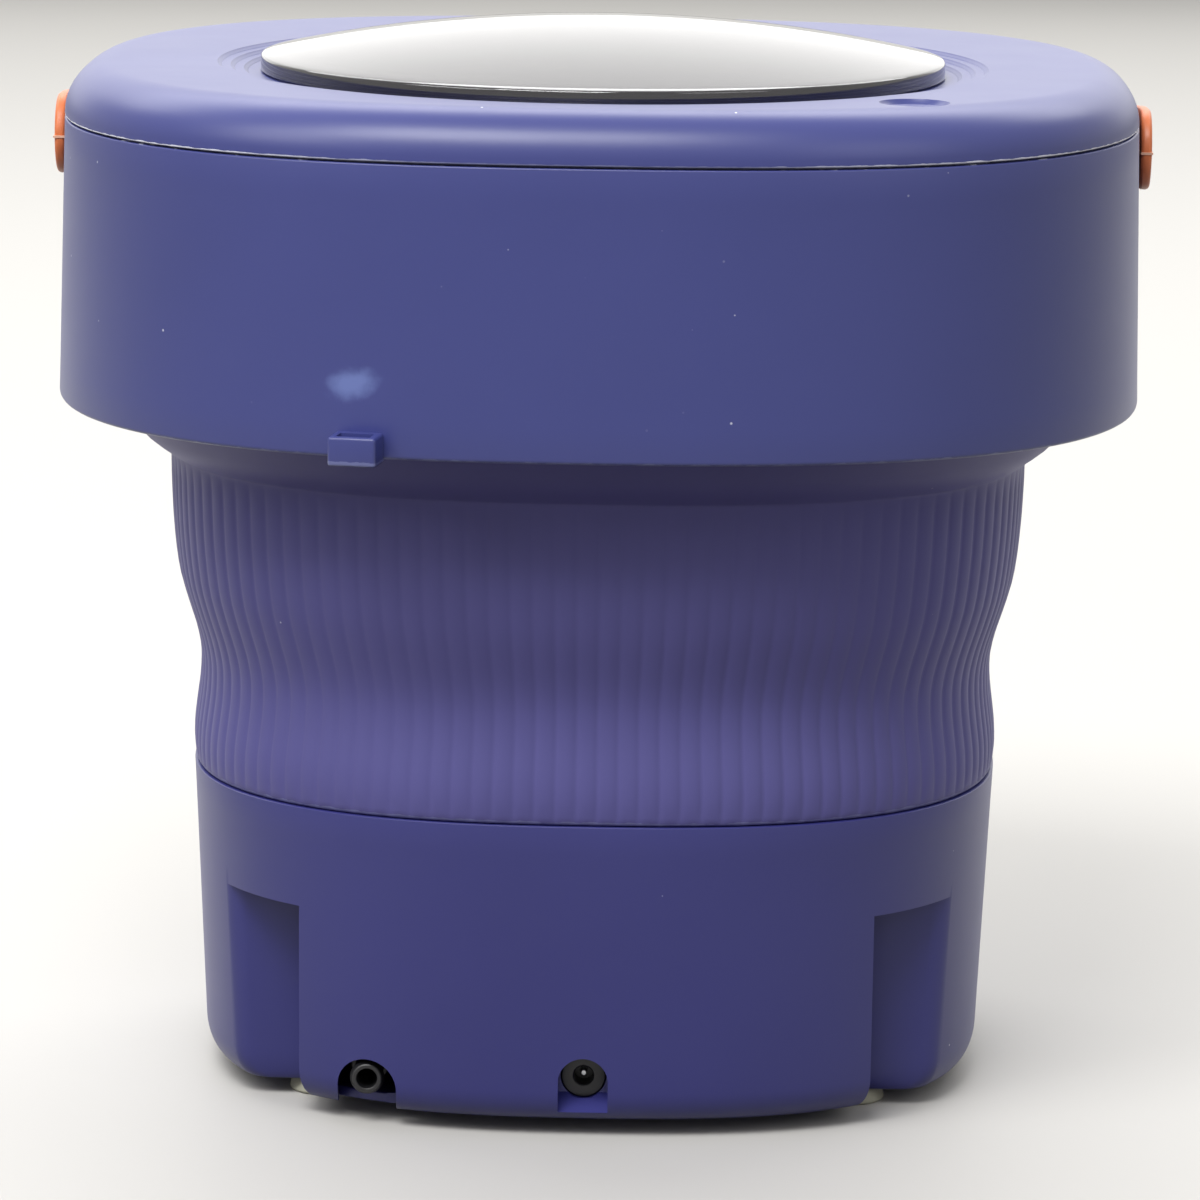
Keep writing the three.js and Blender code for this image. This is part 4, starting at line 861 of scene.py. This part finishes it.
def makeCollar():
    foot, high, half, thick, rim = take(collar, "low high half thick rim")
    low = foot + collar["flange"]
    table = [(low + share * (high - low), drawn) for share, drawn in smoothTable(collar["shares"], 6)]
    profile = [(rim - 0.4, foot), (rim, foot + 0.4), (rim, low - 0.4), (rim - 0.4, low)]
    profile += [(half, level) for level, _ in table]
    profile += [(half - 0.6, high + 0.3), (half - thick + 0.6, high + 0.3)]
    profile += [(half - thick, level) for level, _ in reversed(table)]
    profile += [(half - thick, foot + 0.5), (half - thick + 0.5, foot)]
    piece = stackRings("tubCollar", profile, outline["points"])
    for vertex in piece.data.vertices:
        radius, share, z = polar(vertex)
        angle = housing["angles"][round(share * (len(housing["angles"]) - 1))]
        reach = reachAt(radius, radius - housing["less"], angle)
        neck = collar["neck"] - (half - radius)
        x, y = reach * math.cos(angle), reach * math.sin(angle)
        neckX = neck * math.cos(share * math.tau)
        neckY = neck * math.sin(share * math.tau) + dish["centreY"]
        drawn = 0.0 if radius > half + 1 else clamp(between(table, z))
        vertex.co.x = (x + (neckX - x) * drawn) * mm
        vertex.co.y = (y + (neckY - y) * drawn) * mm
    piece.data.update()
    finishPiece(piece, "top_housing", "white_pp", "tub_collar", angle=35)


# Hose clip: a moulded bridge on the band's lower edge with a slot down through it

clip = {
    "place": (-63.0, -145.34, 0.0), "turn": -10.0, "halfWidth": 6.8, "depth": 10.0, "low": 204.1,
    "high": 212.4, "face": 1.7, "cheek": 2.0, "back": 2.6, "root": 1.6, "round": 0.9, "slotRound": 0.5,
}


def makeClip():
    low, high, half, hollow = clip["low"], clip["high"], clip["halfWidth"], clip["halfWidth"] - clip["cheek"]
    bar = makeBlock("hoseClip", (-half, half), (-clip["depth"], clip["root"]), (low, high))
    roundEdges(bar, clip["round"], 4)
    depths = (-clip["depth"] + clip["face"], -clip["back"])
    slot = makeBlock("clipSlot", (-hollow, hollow), depths, (low - 5, high + 5))
    roundEdges(slot, clip["slotRound"], 3)
    combine(bar, slot)
    applyPlace(bar, clip["place"], (0, 0, math.radians(clip["turn"])))
    finishPiece(bar, "top_housing", "housing_abs", "hose_clip", angle=35)


# Handle: a flat bail round the front of the housing, with the moulds' parting line along its middle

handle = {
    "inner": 159.278, "thick": 3.6, "ridge": 0.1, "dome": 0.25, "corner": 1.15, "endRadius": 12.0,
    "midHalf": 9.0, "taper": 46.0, "headRadius": 6.4, "headDeep": 1.6, "endSteps": 14, "sideSteps": 150,
    "faceSteps": 8, "cornerSteps": 5,
    "line": [(1.8, 0.12), (1.68, 0.34), (-1.68, 0.34), (-1.8, 0.12)], "lineEnd": 12.22,
}
pin = {"flange": 4.6, "flangeLow": 153.5, "flangeHigh": 155.5, "radius": 3.0}
bailPlan = handle["inner"] + handle["thick"] / 2


# The stations along the bail: an angle on the plan, and how far the pivot lies ahead there.
def bailStations(endRadius):
    turns = [i / handle["endSteps"] * math.pi / 2 for i in range(handle["endSteps"])]
    backs = [-endRadius * math.cos(turn) for turn in turns]
    left = [(math.pi - math.asin(clamp(back / bailPlan, -1.0)), back) for back in backs]
    half, steps = len(housing["angles"]) // 2, handle["sideSteps"]
    middle = [(housing["angles"][round(half * (1 - i / steps))], None) for i in range(steps + 1)]
    return left + middle + [(math.pi - angle, back) for angle, back in reversed(left)]


# One section of the bail as (out, up) pairs: flat edges, rounded corners and a slightly domed outer face.
def bailSection(y):
    corner, end, dome = take(handle, "corner endRadius dome")
    shift = (handle["ridge"] + dome) / 2
    thick = handle["thick"] / 2 - shift
    most = 90.0
    if y < 0 and end + y < corner:
        most = math.degrees(math.acos(min((-y - (end - corner)) / corner, 1.0)))

    def heightAt(turn):
        drop = corner * (1 - math.cos(math.radians(turn)))
        if y < 0:
            return math.sqrt(max((end - drop) ** 2 - y * y, 0.0))
        return end + (handle["midHalf"] - end) * ease(clamp(y / handle["taper"])) - drop

    turns = [most * i / handle["cornerSteps"] for i in range(handle["cornerSteps"] + 1)]
    arc = [(thick - corner + corner * math.sin(math.radians(turn)), heightAt(turn)) for turn in turns]
    wide, tall = arc[-1]
    steps = handle["faceSteps"]
    shares = [1 - 2 * i / steps for i in range(1, steps)]
    section = arc + [(wide + dome * (1 - share ** 2) * tall / end, tall * share) for share in shares]
    section += [(out, -up) for out, up in reversed(arc)]
    section += [(-out, -up) for out, up in arc]
    section += [(-wide, -tall * share) for share in shares]
    section += [(-out, up) for out, up in reversed(arc)]
    return [(out - shift, up) for out, up in section]


# Wraps a straight stack of rings onto the bail's path, one ring at each station.
def wrapBail(name, stations, sectionAt):
    points = len(sectionAt(10.0))
    piece = stackRings(name, [(1.0, float(i)) for i in range(len(stations))], points, closed=False)
    depth = bailPlan - housing["less"]
    for vertex in piece.data.vertices:
        _, share, z = polar(vertex)
        angle, back = stations[round(z)]
        ahead = back if back is not None else reachAt(bailPlan, depth, angle) * math.sin(angle)
        out, up = sectionAt(ahead)[round(share * points) % points]
        reach = reachAt(bailPlan + out, depth + out, angle)
        vertex.co = (reach * math.cos(angle) * mm, reach * math.sin(angle) * mm, (pivot["level"] + up) * mm)
    editAll(piece)
    bpy.ops.mesh.remove_doubles(threshold=0.02 * mm)
    faceOut()
    return piece


def makeHandle():
    bail = wrapBail("bailHandle", bailStations(handle["endRadius"]), bailSection)
    line = handle["line"] + [(-out, -up) for out, up in handle["line"]]
    combine(bail, wrapBail("bailRidge", bailStations(handle["lineEnd"]), lambda y: line), "UNION")
    cutPivots(bail)
    face, head = handle["inner"] + handle["thick"], handle["headRadius"]
    for side in (-1, 1):
        x = sorted((side * (face - handle["headDeep"]), side * (face + 4)))
        combine(bail, makeRod("bailPocket", head + 0.3, *x, (0.0, pivot["level"]), "X", 96))
    # The cuts leave doubled points where the ridge runs flush with the inner face.
    editAll(bail)
    bpy.ops.mesh.remove_doubles(threshold=0.01 * mm)
    bpy.ops.mesh.dissolve_degenerate(threshold=0.01 * mm)
    leaveEdit()
    finishPiece(bail, "bail", "handle_abs", "handle", angle=32)
    face -= handle["ridge"]
    seat = face - handle["headDeep"] + 0.45
    profile = [
        (pin["flange"] - 0.3, pin["flangeLow"]), (pin["flange"], pin["flangeLow"] + 0.3),
        (pin["flange"], pin["flangeHigh"]), (pin["radius"], pin["flangeHigh"]), (pin["radius"], seat),
        (head, seat),
    ]
    profile += turnCorner(head - 0.5, face - 0.55, 0.5, 0, 80)
    profile += [(head * 0.6, face + 0.08), (0.4, face + 0.15)]
    for name, side in (("Left", -1), ("Right", 1)):
        sided = [(radius, side * out) for radius, out in profile]
        made = turnPiece("handlePin" + name, sided, (0, 0, pivot["level"]), "X")
        finishPiece(made, "top_housing", "handle_abs", "handle_pin_" + name.lower())


# Feet, with a shallow ring in the pad

foot = {"x": 78.26, "y": 55.22, "radius": 10.0, "top": 4.7, "taper": 0.7, "stem": 2.2, "stemTop": 7.6}


def makeFeet():
    radius, top, stem, stemTop = take(foot, "radius top stem stemTop")
    profile = [(4.0, 0.4), (5.0, 0.0)] + turnCorner(radius - 0.9, 0.9, 0.9, -90, 5)
    profile += turnCorner(radius - foot["taper"] - 0.6, top - 0.6, 0.6, 0, 90)
    profile += [(stem, top), (stem, stemTop - 0.3), (stem - 0.3, stemTop)]
    for name, (x, y) in corners.items():
        title = name.title().replace("_", "")
        pad = turnPiece("foot" + title, profile, (x * foot["x"], y * foot["y"], 0))
        finishPiece(pad, "base", "foot_rubber", "foot_" + name)


# Bottom cover and its screws

under = {
    "low": 5.3, "high": 8.3, "gap": 7.9, "clear": 0.3, "screwX": 103.5, "screwY": 29.7, "hole": 1.9,
    "sink": 3.6, "head": 1.6, "drainBack": -90.1,
}


def makeUnder():
    low, high, inset, clear = take(under, "low high gap clear")
    profile = [
        (baseAt(low, inset + 0.4), low), (baseAt(low, inset), low + 0.4), (baseAt(high, inset), high - 0.3),
        (baseAt(high, inset + 0.3), high),
    ]
    plate = stackRings("bottomCover", profile, outline["points"], closed=False)
    squareOff(plate, lower)
    wall, far = base["wall"], recess["far"]
    reach = recess["x"] - base["inset"] - wall - clear
    depth = recess["y"] - base["inset"] * recess["endShare"] - wall - clear
    through = (low - 4, high + 4)
    for sideX, sideY in sorted(corners.values()):
        x, y = sorted((sideX * reach, sideX * far)), sorted((sideY * depth, sideY * far))
        combine(plate, makeBlock("coverCorner", x, y, through))
    combine(plate, makeDoor("coverDrain", drain["x"], drain["halfWidth"] + wall, -1.0, drain["springing"],
                            under["drainBack"]))
    combine(plate, makeDoor("coverJack", 0.0, jack["halfWidth"] + wall + clear, -1.0, jack["springing"],
                            jack["back"] + jack["ledge"] + clear))
    for sideX, sideY in sorted(corners.values()):
        place = (sideX * under["screwX"], sideY * under["screwY"])
        combine(plate, makeRod("screwHole", under["hole"], *through, place))
        combine(plate, makeRod("screwSink", under["sink"], low - 4, low + under["head"], place))
        place = (sideX * foot["x"], sideY * foot["y"])
        combine(plate, makeRod("footHole", foot["stem"] + clear, *through, place))
    finishPiece(plate, "base", "base_abs", "bottom_cover", angle=30)


screw = {
    "low": 5.6, "head": 3.0, "headHigh": 6.6, "shank": 1.6, "high": 21.3, "pitch": 1.0, "slot": 0.25,
    "reach": 1.6, "deep": 0.7,
}


# One cross-head screw, head down, with a thread of plain rings, and its copies.
def makeScrews():
    low, head, level, shank, pitch = take(screw, "low head headHigh shank pitch")
    profile = [(head - 0.6, low), (head - 0.1, low + 0.25), (head, low + 0.5), (head, level)]
    profile.append((shank - 0.3, level))
    while level + pitch < screw["high"] - 2:
        profile += [(shank, level + pitch * 0.5), (shank - 0.3, level + pitch)]
        level += pitch
    profile.append((0.3, screw["high"]))
    first = stackRings("baseScrew1", profile, 32, closed=False)
    cutCross(first, screw["reach"], screw["slot"], (low - 2, low + screw["deep"]))
    smooth(first, 30)
    made = [first]
    for i in (2, 3, 4):
        copy = first.copy()
        copy.data = first.data.copy()
        copy.name = "baseScrew" + str(i)
        bpy.context.scene.collection.objects.link(copy)
        made.append(copy)
    for i, (x, y) in enumerate(corners.values()):
        applyPlace(made[i], (x * under["screwX"], y * under["screwY"], 0))
        finishPiece(made[i], "base", "steel", "base_screw_" + str(i + 1))


# Power inlet with its centre pin, and the drain's spigot and tube

inlet = {
    "radius": 6.4, "front": -98.41, "back": -86.6, "bore": 2.8, "boreBack": -91.1, "pin": 1.0,
    "pinTip": -95.6,
}
spigot = {"level": 14.3, "tail": -77.6, "end": -96.8, "radius": 4.2, "bore": 3.0, "flange": 5.6, "barb": 5.0}
tube = {"top": 43.7, "y": -50.0, "outer": 5.6, "wall": 1.4}


def makeInlet():
    front, back, radius, bore = take(inlet, "front back radius bore")
    boreBack, tip = take(inlet, "boreBack pinTip")
    profile = [(radius - 0.4, back), (radius, back - 0.4)]
    profile += turnCorner(radius - 0.4, front + 0.4, 0.4, 0, -90)
    profile += [(bore + 0.35, front), (bore, front + 0.35), (bore, boreBack)]
    place = (0.0, 0.0, jack["springing"])
    finishPiece(turnPiece("powerInlet", profile, place, "Y"), "base", "black_plastic", "dc_jack")
    profile = [(inlet["pin"], boreBack - 0.3), (inlet["pin"], tip + 0.6)]
    profile += turnCorner(0.5, tip + 0.5, 0.5, 0, -80)
    finishPiece(turnPiece("inletPin", profile, place, "Y", points=32), "base", "steel")


def makeDrain():
    tail, end, radius, bore = take(spigot, "tail end radius bore")
    flange, barb = take(spigot, "flange barb")
    profile = [
        (bore, tail - 0.3), (flange - 0.3, tail - 0.3), (flange, tail - 0.6), (flange, tail - 2.3),
        (flange - 0.3, tail - 2.6), (radius, tail - 2.6), (radius, end + 2.6), (barb, end + 2.4),
        (barb, end + 2.0), (radius + 0.1, end + 0.2), (radius - 0.2, end), (bore + 0.2, end),
        (bore, end + 0.2),
    ]
    x, level = drain["x"], spigot["level"]
    made = turnPiece("drainSpigot", profile, (x, 0.0, level), "Y", closed=True, points=64)
    finishPiece(made, "base", "black_plastic", "drain_spigot")
    deselectAll()
    bpy.ops.curve.primitive_bezier_curve_add()
    hose = bpy.context.object
    hose.name = "drainTube"
    line = hose.data
    bend = Vector((x, tube["y"], level)) * mm
    ends = [Vector((x, tube["y"], tube["top"])) * mm, Vector((x, tail, level)) * mm]
    for point, spot, side in zip(line.splines[0].bezier_points, ends, (1, -1)):
        pull = (bend - spot) * side * 2 / 3
        point.handle_left_type = point.handle_right_type = "FREE"
        point.co, point.handle_right, point.handle_left = spot, spot + pull, spot - pull
    line.resolution_u = 24
    line.bevel_depth = tube["outer"] * mm
    line.bevel_resolution = 10
    pick(hose)
    bpy.ops.object.convert(target="MESH")
    hose.location = hose.rotation_euler = (0, 0, 0)
    bpy.ops.object.modifier_add(type="SOLIDIFY")
    hose.modifiers[-1].thickness = tube["wall"] * mm
    hose.modifiers[-1].offset = -1
    bpy.ops.object.modifier_apply(modifier=hose.modifiers[-1].name)
    editAll(applyPlace(hose))
    faceOut()
    finishPiece(hose, "base", "black_rubber", "drain_tube", angle=40)


# Tub well: the bowl under the bellows, with the drive's hub below it

well = {
    "thick": 2.4,
    "bowl": [(52.4, 78.0), (52.55, 81.0), (54.6, 86.2), (60.6, 92.3), (73.7, 96.0), (93.2, 110.8)],
    "floor": [(10.3, 52.4), (30.0, 52.4), (55.0, 52.4)],
    "flange": [(111.3, 93.4), (117.2, 93.4), (117.5, 93.1), (117.4, 91.1), (117.1, 90.9), (113.2, 90.9)],
    "under": [(80.4, 50.0), (40.0, 50.0), (17.0, 50.0), (16.0, 49.0), (16.0, 30.5), (15.5, 30.0)],
    "seats": [(8.3, 30.0), (8.3, 35.3), (6.0, 35.3), (6.0, 43.1), (8.3, 43.1), (8.3, 48.4), (10.3, 48.4)],
    "hole": (-63.0, -50.0), "holeRadius": 5.0, "holeLow": 41.0, "holeHigh": 57.4, "boss": 7.0,
    "bossLow": 44.0, "bossHigh": 51.2,
}


def makeWell():
    thick = well["thick"]
    inside = smoothTable(well["bowl"], 5)
    profile = well["floor"] + [(radius, level) for level, radius in inside] + well["flange"]
    profile += [(radius + thick, level - thick * 0.4) for level, radius in reversed(inside[1:-1:2])]
    profile += well["under"] + well["seats"]
    piece = stackRings("tubWell", profile, outline["points"])
    squareOff(piece, lower, lambda radius, level: lower["less"] * clamp((radius - 20) / 40))
    boss = makeRod("wellBoss", *take(well, "boss bossLow bossHigh hole"), points=64)
    combine(piece, boss, "UNION")
    combine(piece, makeRod("wellHole", *take(well, "holeRadius holeLow holeHigh hole"), points=64))
    finishPiece(piece, "base", "white_pp", "tub_well", angle=35)


clampRing = {"outer": 113.5, "inner": 108.1, "low": 97.0, "high": 100.0, "edge": 0.8}


def makeClampRing():
    outer, inner, edge = take(clampRing, "outer inner edge")
    low, level = clampRing["low"], clampRing["high"] - edge
    profile = [(outer, low)] + turnCorner(outer - edge, level, edge, 0, 90)
    profile += turnCorner(inner + edge, level, edge, 90, 180) + [(inner, low)]
    piece = stackRings("lowerClampRing", profile, outline["points"])
    squareOff(piece, lower)
    finishPiece(piece, "base", "white_pp", "lower_clamp_ring", angle=35)


# Pulsator: a dished disc whose four vanes run into the hub, with its cap screw

pulsator = {
    "vanes": 4, "vaneHalf": 3.6, "vaneEnd": 58.4, "vaneFade": 4.0, "vaneReach": (9.0, 60.5), "vaneLow": 56.5,
    "socket": [(4.3, 66.3), (4.3, 54.0), (30.0, 54.0)],
    "rim": [(60.4, 54.0), (61.6, 54.5), (62.0, 55.4), (61.7, 56.2), (60.8, 56.9)],
    "top": [
        (59.5, 57.2), (56.0, 57.5), (50.0, 58.0), (44.0, 58.6), (38.0, 59.4), (32.0, 60.6), (27.0, 62.2),
        (23.0, 64.5), (20.0, 67.2), (18.0, 69.8), (16.4, 71.9),
    ],
    "hub": [(14.4, 73.3), (12.4, 73.9), (9.0, 74.0), (8.4, 73.9), (8.3, 72.8)],
    "vaneTop": [(8.0, 70.5), (20.0, 68.2), (31.0, 65.2), (44.0, 63.2), (55.0, 62.0), (60.0, 61.6)],
    "cap": [
        (1.5, 60.3), (1.5, 73.1), (7.9, 73.1), (8.0, 73.4), (8.0, 74.0), (7.7, 74.6), (6.8, 75.1),
        (5.0, 75.4), (0.5, 75.5),
    ],
    "cross": (3.4, 0.5, (74.4, 78.0)),
}


def makePulsator():
    vanes, top = take(pulsator, "vanes top")
    profile = pulsator["socket"] + pulsator["rim"] + top[:1]
    for first, second in zip(top, top[1:]):
        profile += [tuple(a + (b - a) * k / 3 for a, b in zip(first, second)) for k in (1, 2, 3)]
    piece = stackRings("pulsatorDisc", profile + pulsator["hub"], 360, closed=False)
    for vertex in piece.data.vertices:
        radius, share, z = polar(vertex)
        crest = between(pulsator["vaneTop"], radius)
        near, far = pulsator["vaneReach"]
        if z < pulsator["vaneLow"] or radius < near or radius > far or crest < z:
            continue
        turn = share * vanes
        off = radius * math.sin((turn - round(turn)) / vanes * math.tau)
        reach = clamp((pulsator["vaneEnd"] - radius) / pulsator["vaneFade"])
        blend = math.exp(-(off / pulsator["vaneHalf"]) ** 4) * ease(reach)
        vertex.co.z = (z + (crest - z) * blend) * mm
    piece.data.update()
    finishPiece(piece, "drive", "white_pp", "pulsator", angle=40)
    cap = turnPiece("pulsatorScrew", pulsator["cap"], points=64)
    cutCross(cap, *pulsator["cross"])
    finishPiece(cap, "drive", "steel", "pulsator_screw", angle=30)


# Control panel on the front, its two keys with plain printed marks, and the indicator's lens

face = {
    "low": 102.3, "high": 104.5, "top": 105.0, "capLow": 103.5, "stemLow": 99.1, "stem": 2.2,
    "plugHigh": 99.7, "lensHalf": 4.4, "lensHigh": 1.6, "gap": 0.3, "ink": 0.3,
}
marks = {
    "ring": 2.7, "hole": 2.2, "gap": 0.9, "bar": 0.25, "step": 1.7, "half": 0.45, "low": 1.9, "rise": 1.25,
}


# Power has a broken ring with an upright bar, and the mode has three bars, each lower than the last.
def makeMark(name, body, x):
    high, level = face["top"], panel["level"]
    ink, cut = (high - face["ink"], high), (high - 2, high + 2)
    if name == "powerMark":
        mark = makeRod(name, marks["ring"], *ink, (x, level), "Y", 64)
        combine(mark, makeRod("markHole", marks["hole"], *cut, (x, level), "Y", 64))
        combine(mark, makeBlock("markGap", (x - marks["gap"], x + marks["gap"]), cut, (level, level + 4)))
        bars = [makeBlock("markBar", (x - marks["bar"], x + marks["bar"]), ink, (level + 0.3, level + 3.1))]
    else:
        low, bars = level - marks["low"], []
        for k in (-1, 0, 1):
            middle = x + k * marks["step"]
            width = (middle - marks["half"], middle + marks["half"])
            bars.append(makeBlock(name, width, ink, (low, low + (2 - k) * marks["rise"])))
        mark = bars.pop(0)
    for bar in bars:
        combine(mark, bar, "UNION")
    finishPiece(mark, body, "black_plastic")
    dress(mark, materials["ink"])


def makeControls():
    low, high, top, gap, level = face["low"], face["high"], face["top"], face["gap"], panel["level"]
    radius, rim, stem = keys["radius"], keys["rim"], face["stem"]
    plate = makeSlot("controlPanel", panel["halfLength"] - gap, panel["halfHeight"] - gap, low, high)
    roundEdges(plate, 0.4, 3)
    for side in (-1, 1):
        place = (side * keys["x"], level)
        combine(plate, makeRod("keyCut", rim + gap, low - 3, high + 3, place, "Y", 96))
    combine(plate, makeSlot("lensCut", face["lensHalf"] + gap, face["lensHigh"] + gap, low - 3, high + 3))
    finishPiece(plate, "base", "black_plastic", "control_panel", angle=35)
    lens = makeSlot("indicatorLens", face["lensHalf"], face["lensHigh"], low, high)
    roundEdges(lens, 0.3, 3)
    finishPiece(lens, "base", "key_white", "indicator_lens", angle=35)
    stemLow, plugHigh, capLow = take(face, "stemLow plugHigh capLow")
    profile = [
        (stem, stemLow), (stem, plugHigh), (radius, plugHigh), (radius, capLow), (rim, capLow),
        (rim, high - 0.4), (rim - 0.15, high - 0.1), (rim - 0.5, high + 0.1),
        (rim - 1.0, top - 0.15), (rim - 1.5, top - 0.03), (radius - 0.4, top - 0.05), (1.0, top - 0.12),
    ]
    for name, x in (("power", -keys["x"]), ("mode", keys["x"])):
        key = turnPiece(name + "Key", profile, (x, 0, level), "Y")
        finishPiece(key, name + "_key", "key_white", name + "_button")
        makeMark(name + "Mark", name + "_key", x)


# Drive train: bearings with their shields, the seal, the shaft and the motor's cup

drive = {
    "bearing": [
        (4.3, 0.3), (4.6, 0.0), (5.3, 0.0), (5.4, 0.35), (6.9, 0.35), (7.0, 0.0), (7.7, 0.0), (8.0, 0.3),
    ],
    "bearings": {"lower": (30.3, 35.0), "upper": (43.4, 48.1)},
    "seal": [
        (4.3, 48.9), (4.6, 48.7), (9.7, 48.7), (10.0, 49.0), (10.0, 52.1), (9.7, 52.4), (6.0, 52.4),
        (5.2, 52.0), (4.3, 51.0),
    ],
    "shaft": [(3.5, 12.8), (4.0, 13.3), (4.0, 65.4), (3.4, 66.0), (1.8, 66.0), (1.8, 60.0)],
    "flat": ((3.0, 8), (-8, 8), (54.0, 70.0)),
    "cup": [
        (4.0, 12.5), (4.3, 12.5), (4.3, 18.7), (4.6, 19.0), (6.7, 19.0), (7.0, 18.7), (7.0, 13.5),
        (8.0, 12.5), (34.5, 12.5), (36.0, 14.0), (36.0, 27.2), (36.3, 27.5), (37.7, 27.5),
        (38.0, 27.2), (38.0, 12.2), (36.3, 10.5), (8.0, 10.5), (6.0, 10.7), (3.0, 10.7),
    ],
}


def makeDrive():
    steps = drive["bearing"]
    for name, (low, high) in drive["bearings"].items():
        profile = [(radius, low + drop) for radius, drop in steps]
        profile += [(radius, high - drop) for radius, drop in reversed(steps)]
        bearing = turnPiece(name + "Bearing", profile, closed=True, points=64)
        finishPiece(bearing, "base", "steel", name + "_bearing")
    seal = turnPiece("shaftSeal", drive["seal"], closed=True, points=64)
    finishPiece(seal, "base", "black_rubber", "shaft_seal")
    shaft = turnPiece("driveShaft", drive["shaft"], points=64)
    combine(shaft, makeBlock("shaftFlat", *drive["flat"]))
    finishPiece(shaft, "drive", "steel", "drive_shaft", angle=30)
    finishPiece(turnPiece("motorCup", drive["cup"], points=128), "drive", "steel", "motor_rotor")


makeBand()
makeCover()
makeLid()
makeCollar()
makeClip()
print("top housing and lid made")
makeHandle()
print("handle made")
makeBellows()
print("bellows made")
makeBase()
makeFeet()
makeUnder()
makeScrews()
makeInlet()
makeDrain()
print("base made")
makeWell()
makeClampRing()
makePulsator()
makeDrive()
print("tub and drive made")
makeControls()
# CAD pieces that keep their own shape get the finish of the real ones.
kept = {"motor_stator": "laminations", "control_board": "board_green", "drive_board": "board_green"}
for name, finish in kept.items():
    dress(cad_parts[name], materials[finish])
print("controls made")


# Camera, light and stage

camera = {
    "place": (0.9, -1750.0, 476.0), "pitch": 10.92, "roll": 0.76, "orbit": 1.2, "lens": 176.88,
    "sensor": 36.0,
}


def makeCamera():
    data = bpy.data.cameras.new("viewCamera")
    data.lens = camera["lens"]
    data.sensor_width = camera["sensor"]
    data.clip_end = 20
    eye = bpy.data.objects.new("viewCamera", data)
    bpy.context.scene.collection.objects.link(eye)
    turns = [(camera["orbit"], "Z"), (90 - camera["pitch"], "X"), (camera["roll"], "Z")]
    orbit, tilt, roll = [Matrix.Rotation(math.radians(turn), 4, axis) for turn, axis in turns]
    eye.matrix_world = orbit @ Matrix.Translation([value * mm for value in camera["place"]]) @ tilt @ roll
    bpy.context.scene.camera = eye


stage = {
    "floor": "#c6c4c0", "floorBounce": "#2f2a28", "pale": "#e9e7e3", "horizon": 0.22, "zenith": 0.66,
    "size": 14.0,
}


# One for rays that see the stage itself: from the camera, in a reflection or through the lid.
def seenRays(tree):
    path = addNode(tree, "LightPath").outputs
    seen = addNode(tree, "Math", {0: path["Is Camera Ray"], 1: path["Is Glossy Ray"]}, operation="MAXIMUM")
    return addNode(tree, "Math", {0: seen, 1: path["Is Transmission Ray"]}, operation="MAXIMUM")


def makeStage():
    deselectAll()
    bpy.ops.mesh.primitive_plane_add(size=stage["size"], location=(0, 0, 0))
    floor = bpy.context.object
    floor.name = "studioFloor"
    material, tree, shader, _ = startMaterial("studioFloor", 0.6, 1.45)
    tones = {0: seenRays(tree), 6: linear(stage["floorBounce"]), 7: linear(stage["floor"])}
    setInputs(shader, {"Base Color": addNode(tree, "Mix", tones, data_type="RGBA").outputs[2]})
    floor.data.materials.append(material)
    world = bpy.data.worlds.new("studioWorld")
    bpy.context.scene.world = world
    world.use_nodes = True
    tree = world.node_tree
    direction = addNode(tree, "TexCoord").outputs["Generated"]
    height = addNode(tree, "SeparateXYZ", {0: direction}).outputs["Z"]
    sky = addNode(tree, "MapRange", {"Value": height, "To Min": stage["horizon"], "To Max": stage["zenith"]})
    colour = addNode(tree, "Mix", {0: seenRays(tree), 6: sky, 7: linear(stage["pale"])}, data_type="RGBA")
    setInputs(tree.nodes["Background"], {"Color": colour.outputs[2]})


lamps = {
    "far": {"place": (-0.1, 3.2, 1.45), "aim": (0, 0, 0.3), "size": (5.0, 2.2), "power": 32.0},
    "back": {"place": (-0.2, 1.8, 2.35), "aim": (0, 0, 0.3), "size": (5.6, 1.3), "power": 82.0},
    "key": {"place": (-0.5, -1.4, 2.2), "aim": (0, 0, 0.2), "size": (1.3, 1.0), "power": 47.0},
    "left": {"place": (-1.8, -1.3, 1.8), "aim": (0, 0, 0.15), "size": (1.3, 1.3), "power": 22.0},
    "right": {"place": (1.5, -1.6, 1.4), "aim": (0, 0, 0.15), "size": (1.2, 1.2), "power": 6.0},
}


def makeLamps():
    for name, lamp in lamps.items():
        data = bpy.data.lights.new(name, "AREA")
        data.shape = "RECTANGLE"
        data.size, data.size_y = lamp["size"]
        data.energy = lamp["power"]
        light = bpy.data.objects.new(name, data)
        bpy.context.scene.collection.objects.link(light)
        light.visible_camera = False
        light.location = lamp["place"]
        light.rotation_mode = "QUATERNION"
        light.rotation_quaternion = (Vector(lamp["aim"]) - light.location).to_track_quat("-Z", "Y")


makeCamera()
makeStage()
makeLamps()
bpy.context.scene.view_settings.view_transform = "Standard"
print("stage made")

deselectAll()
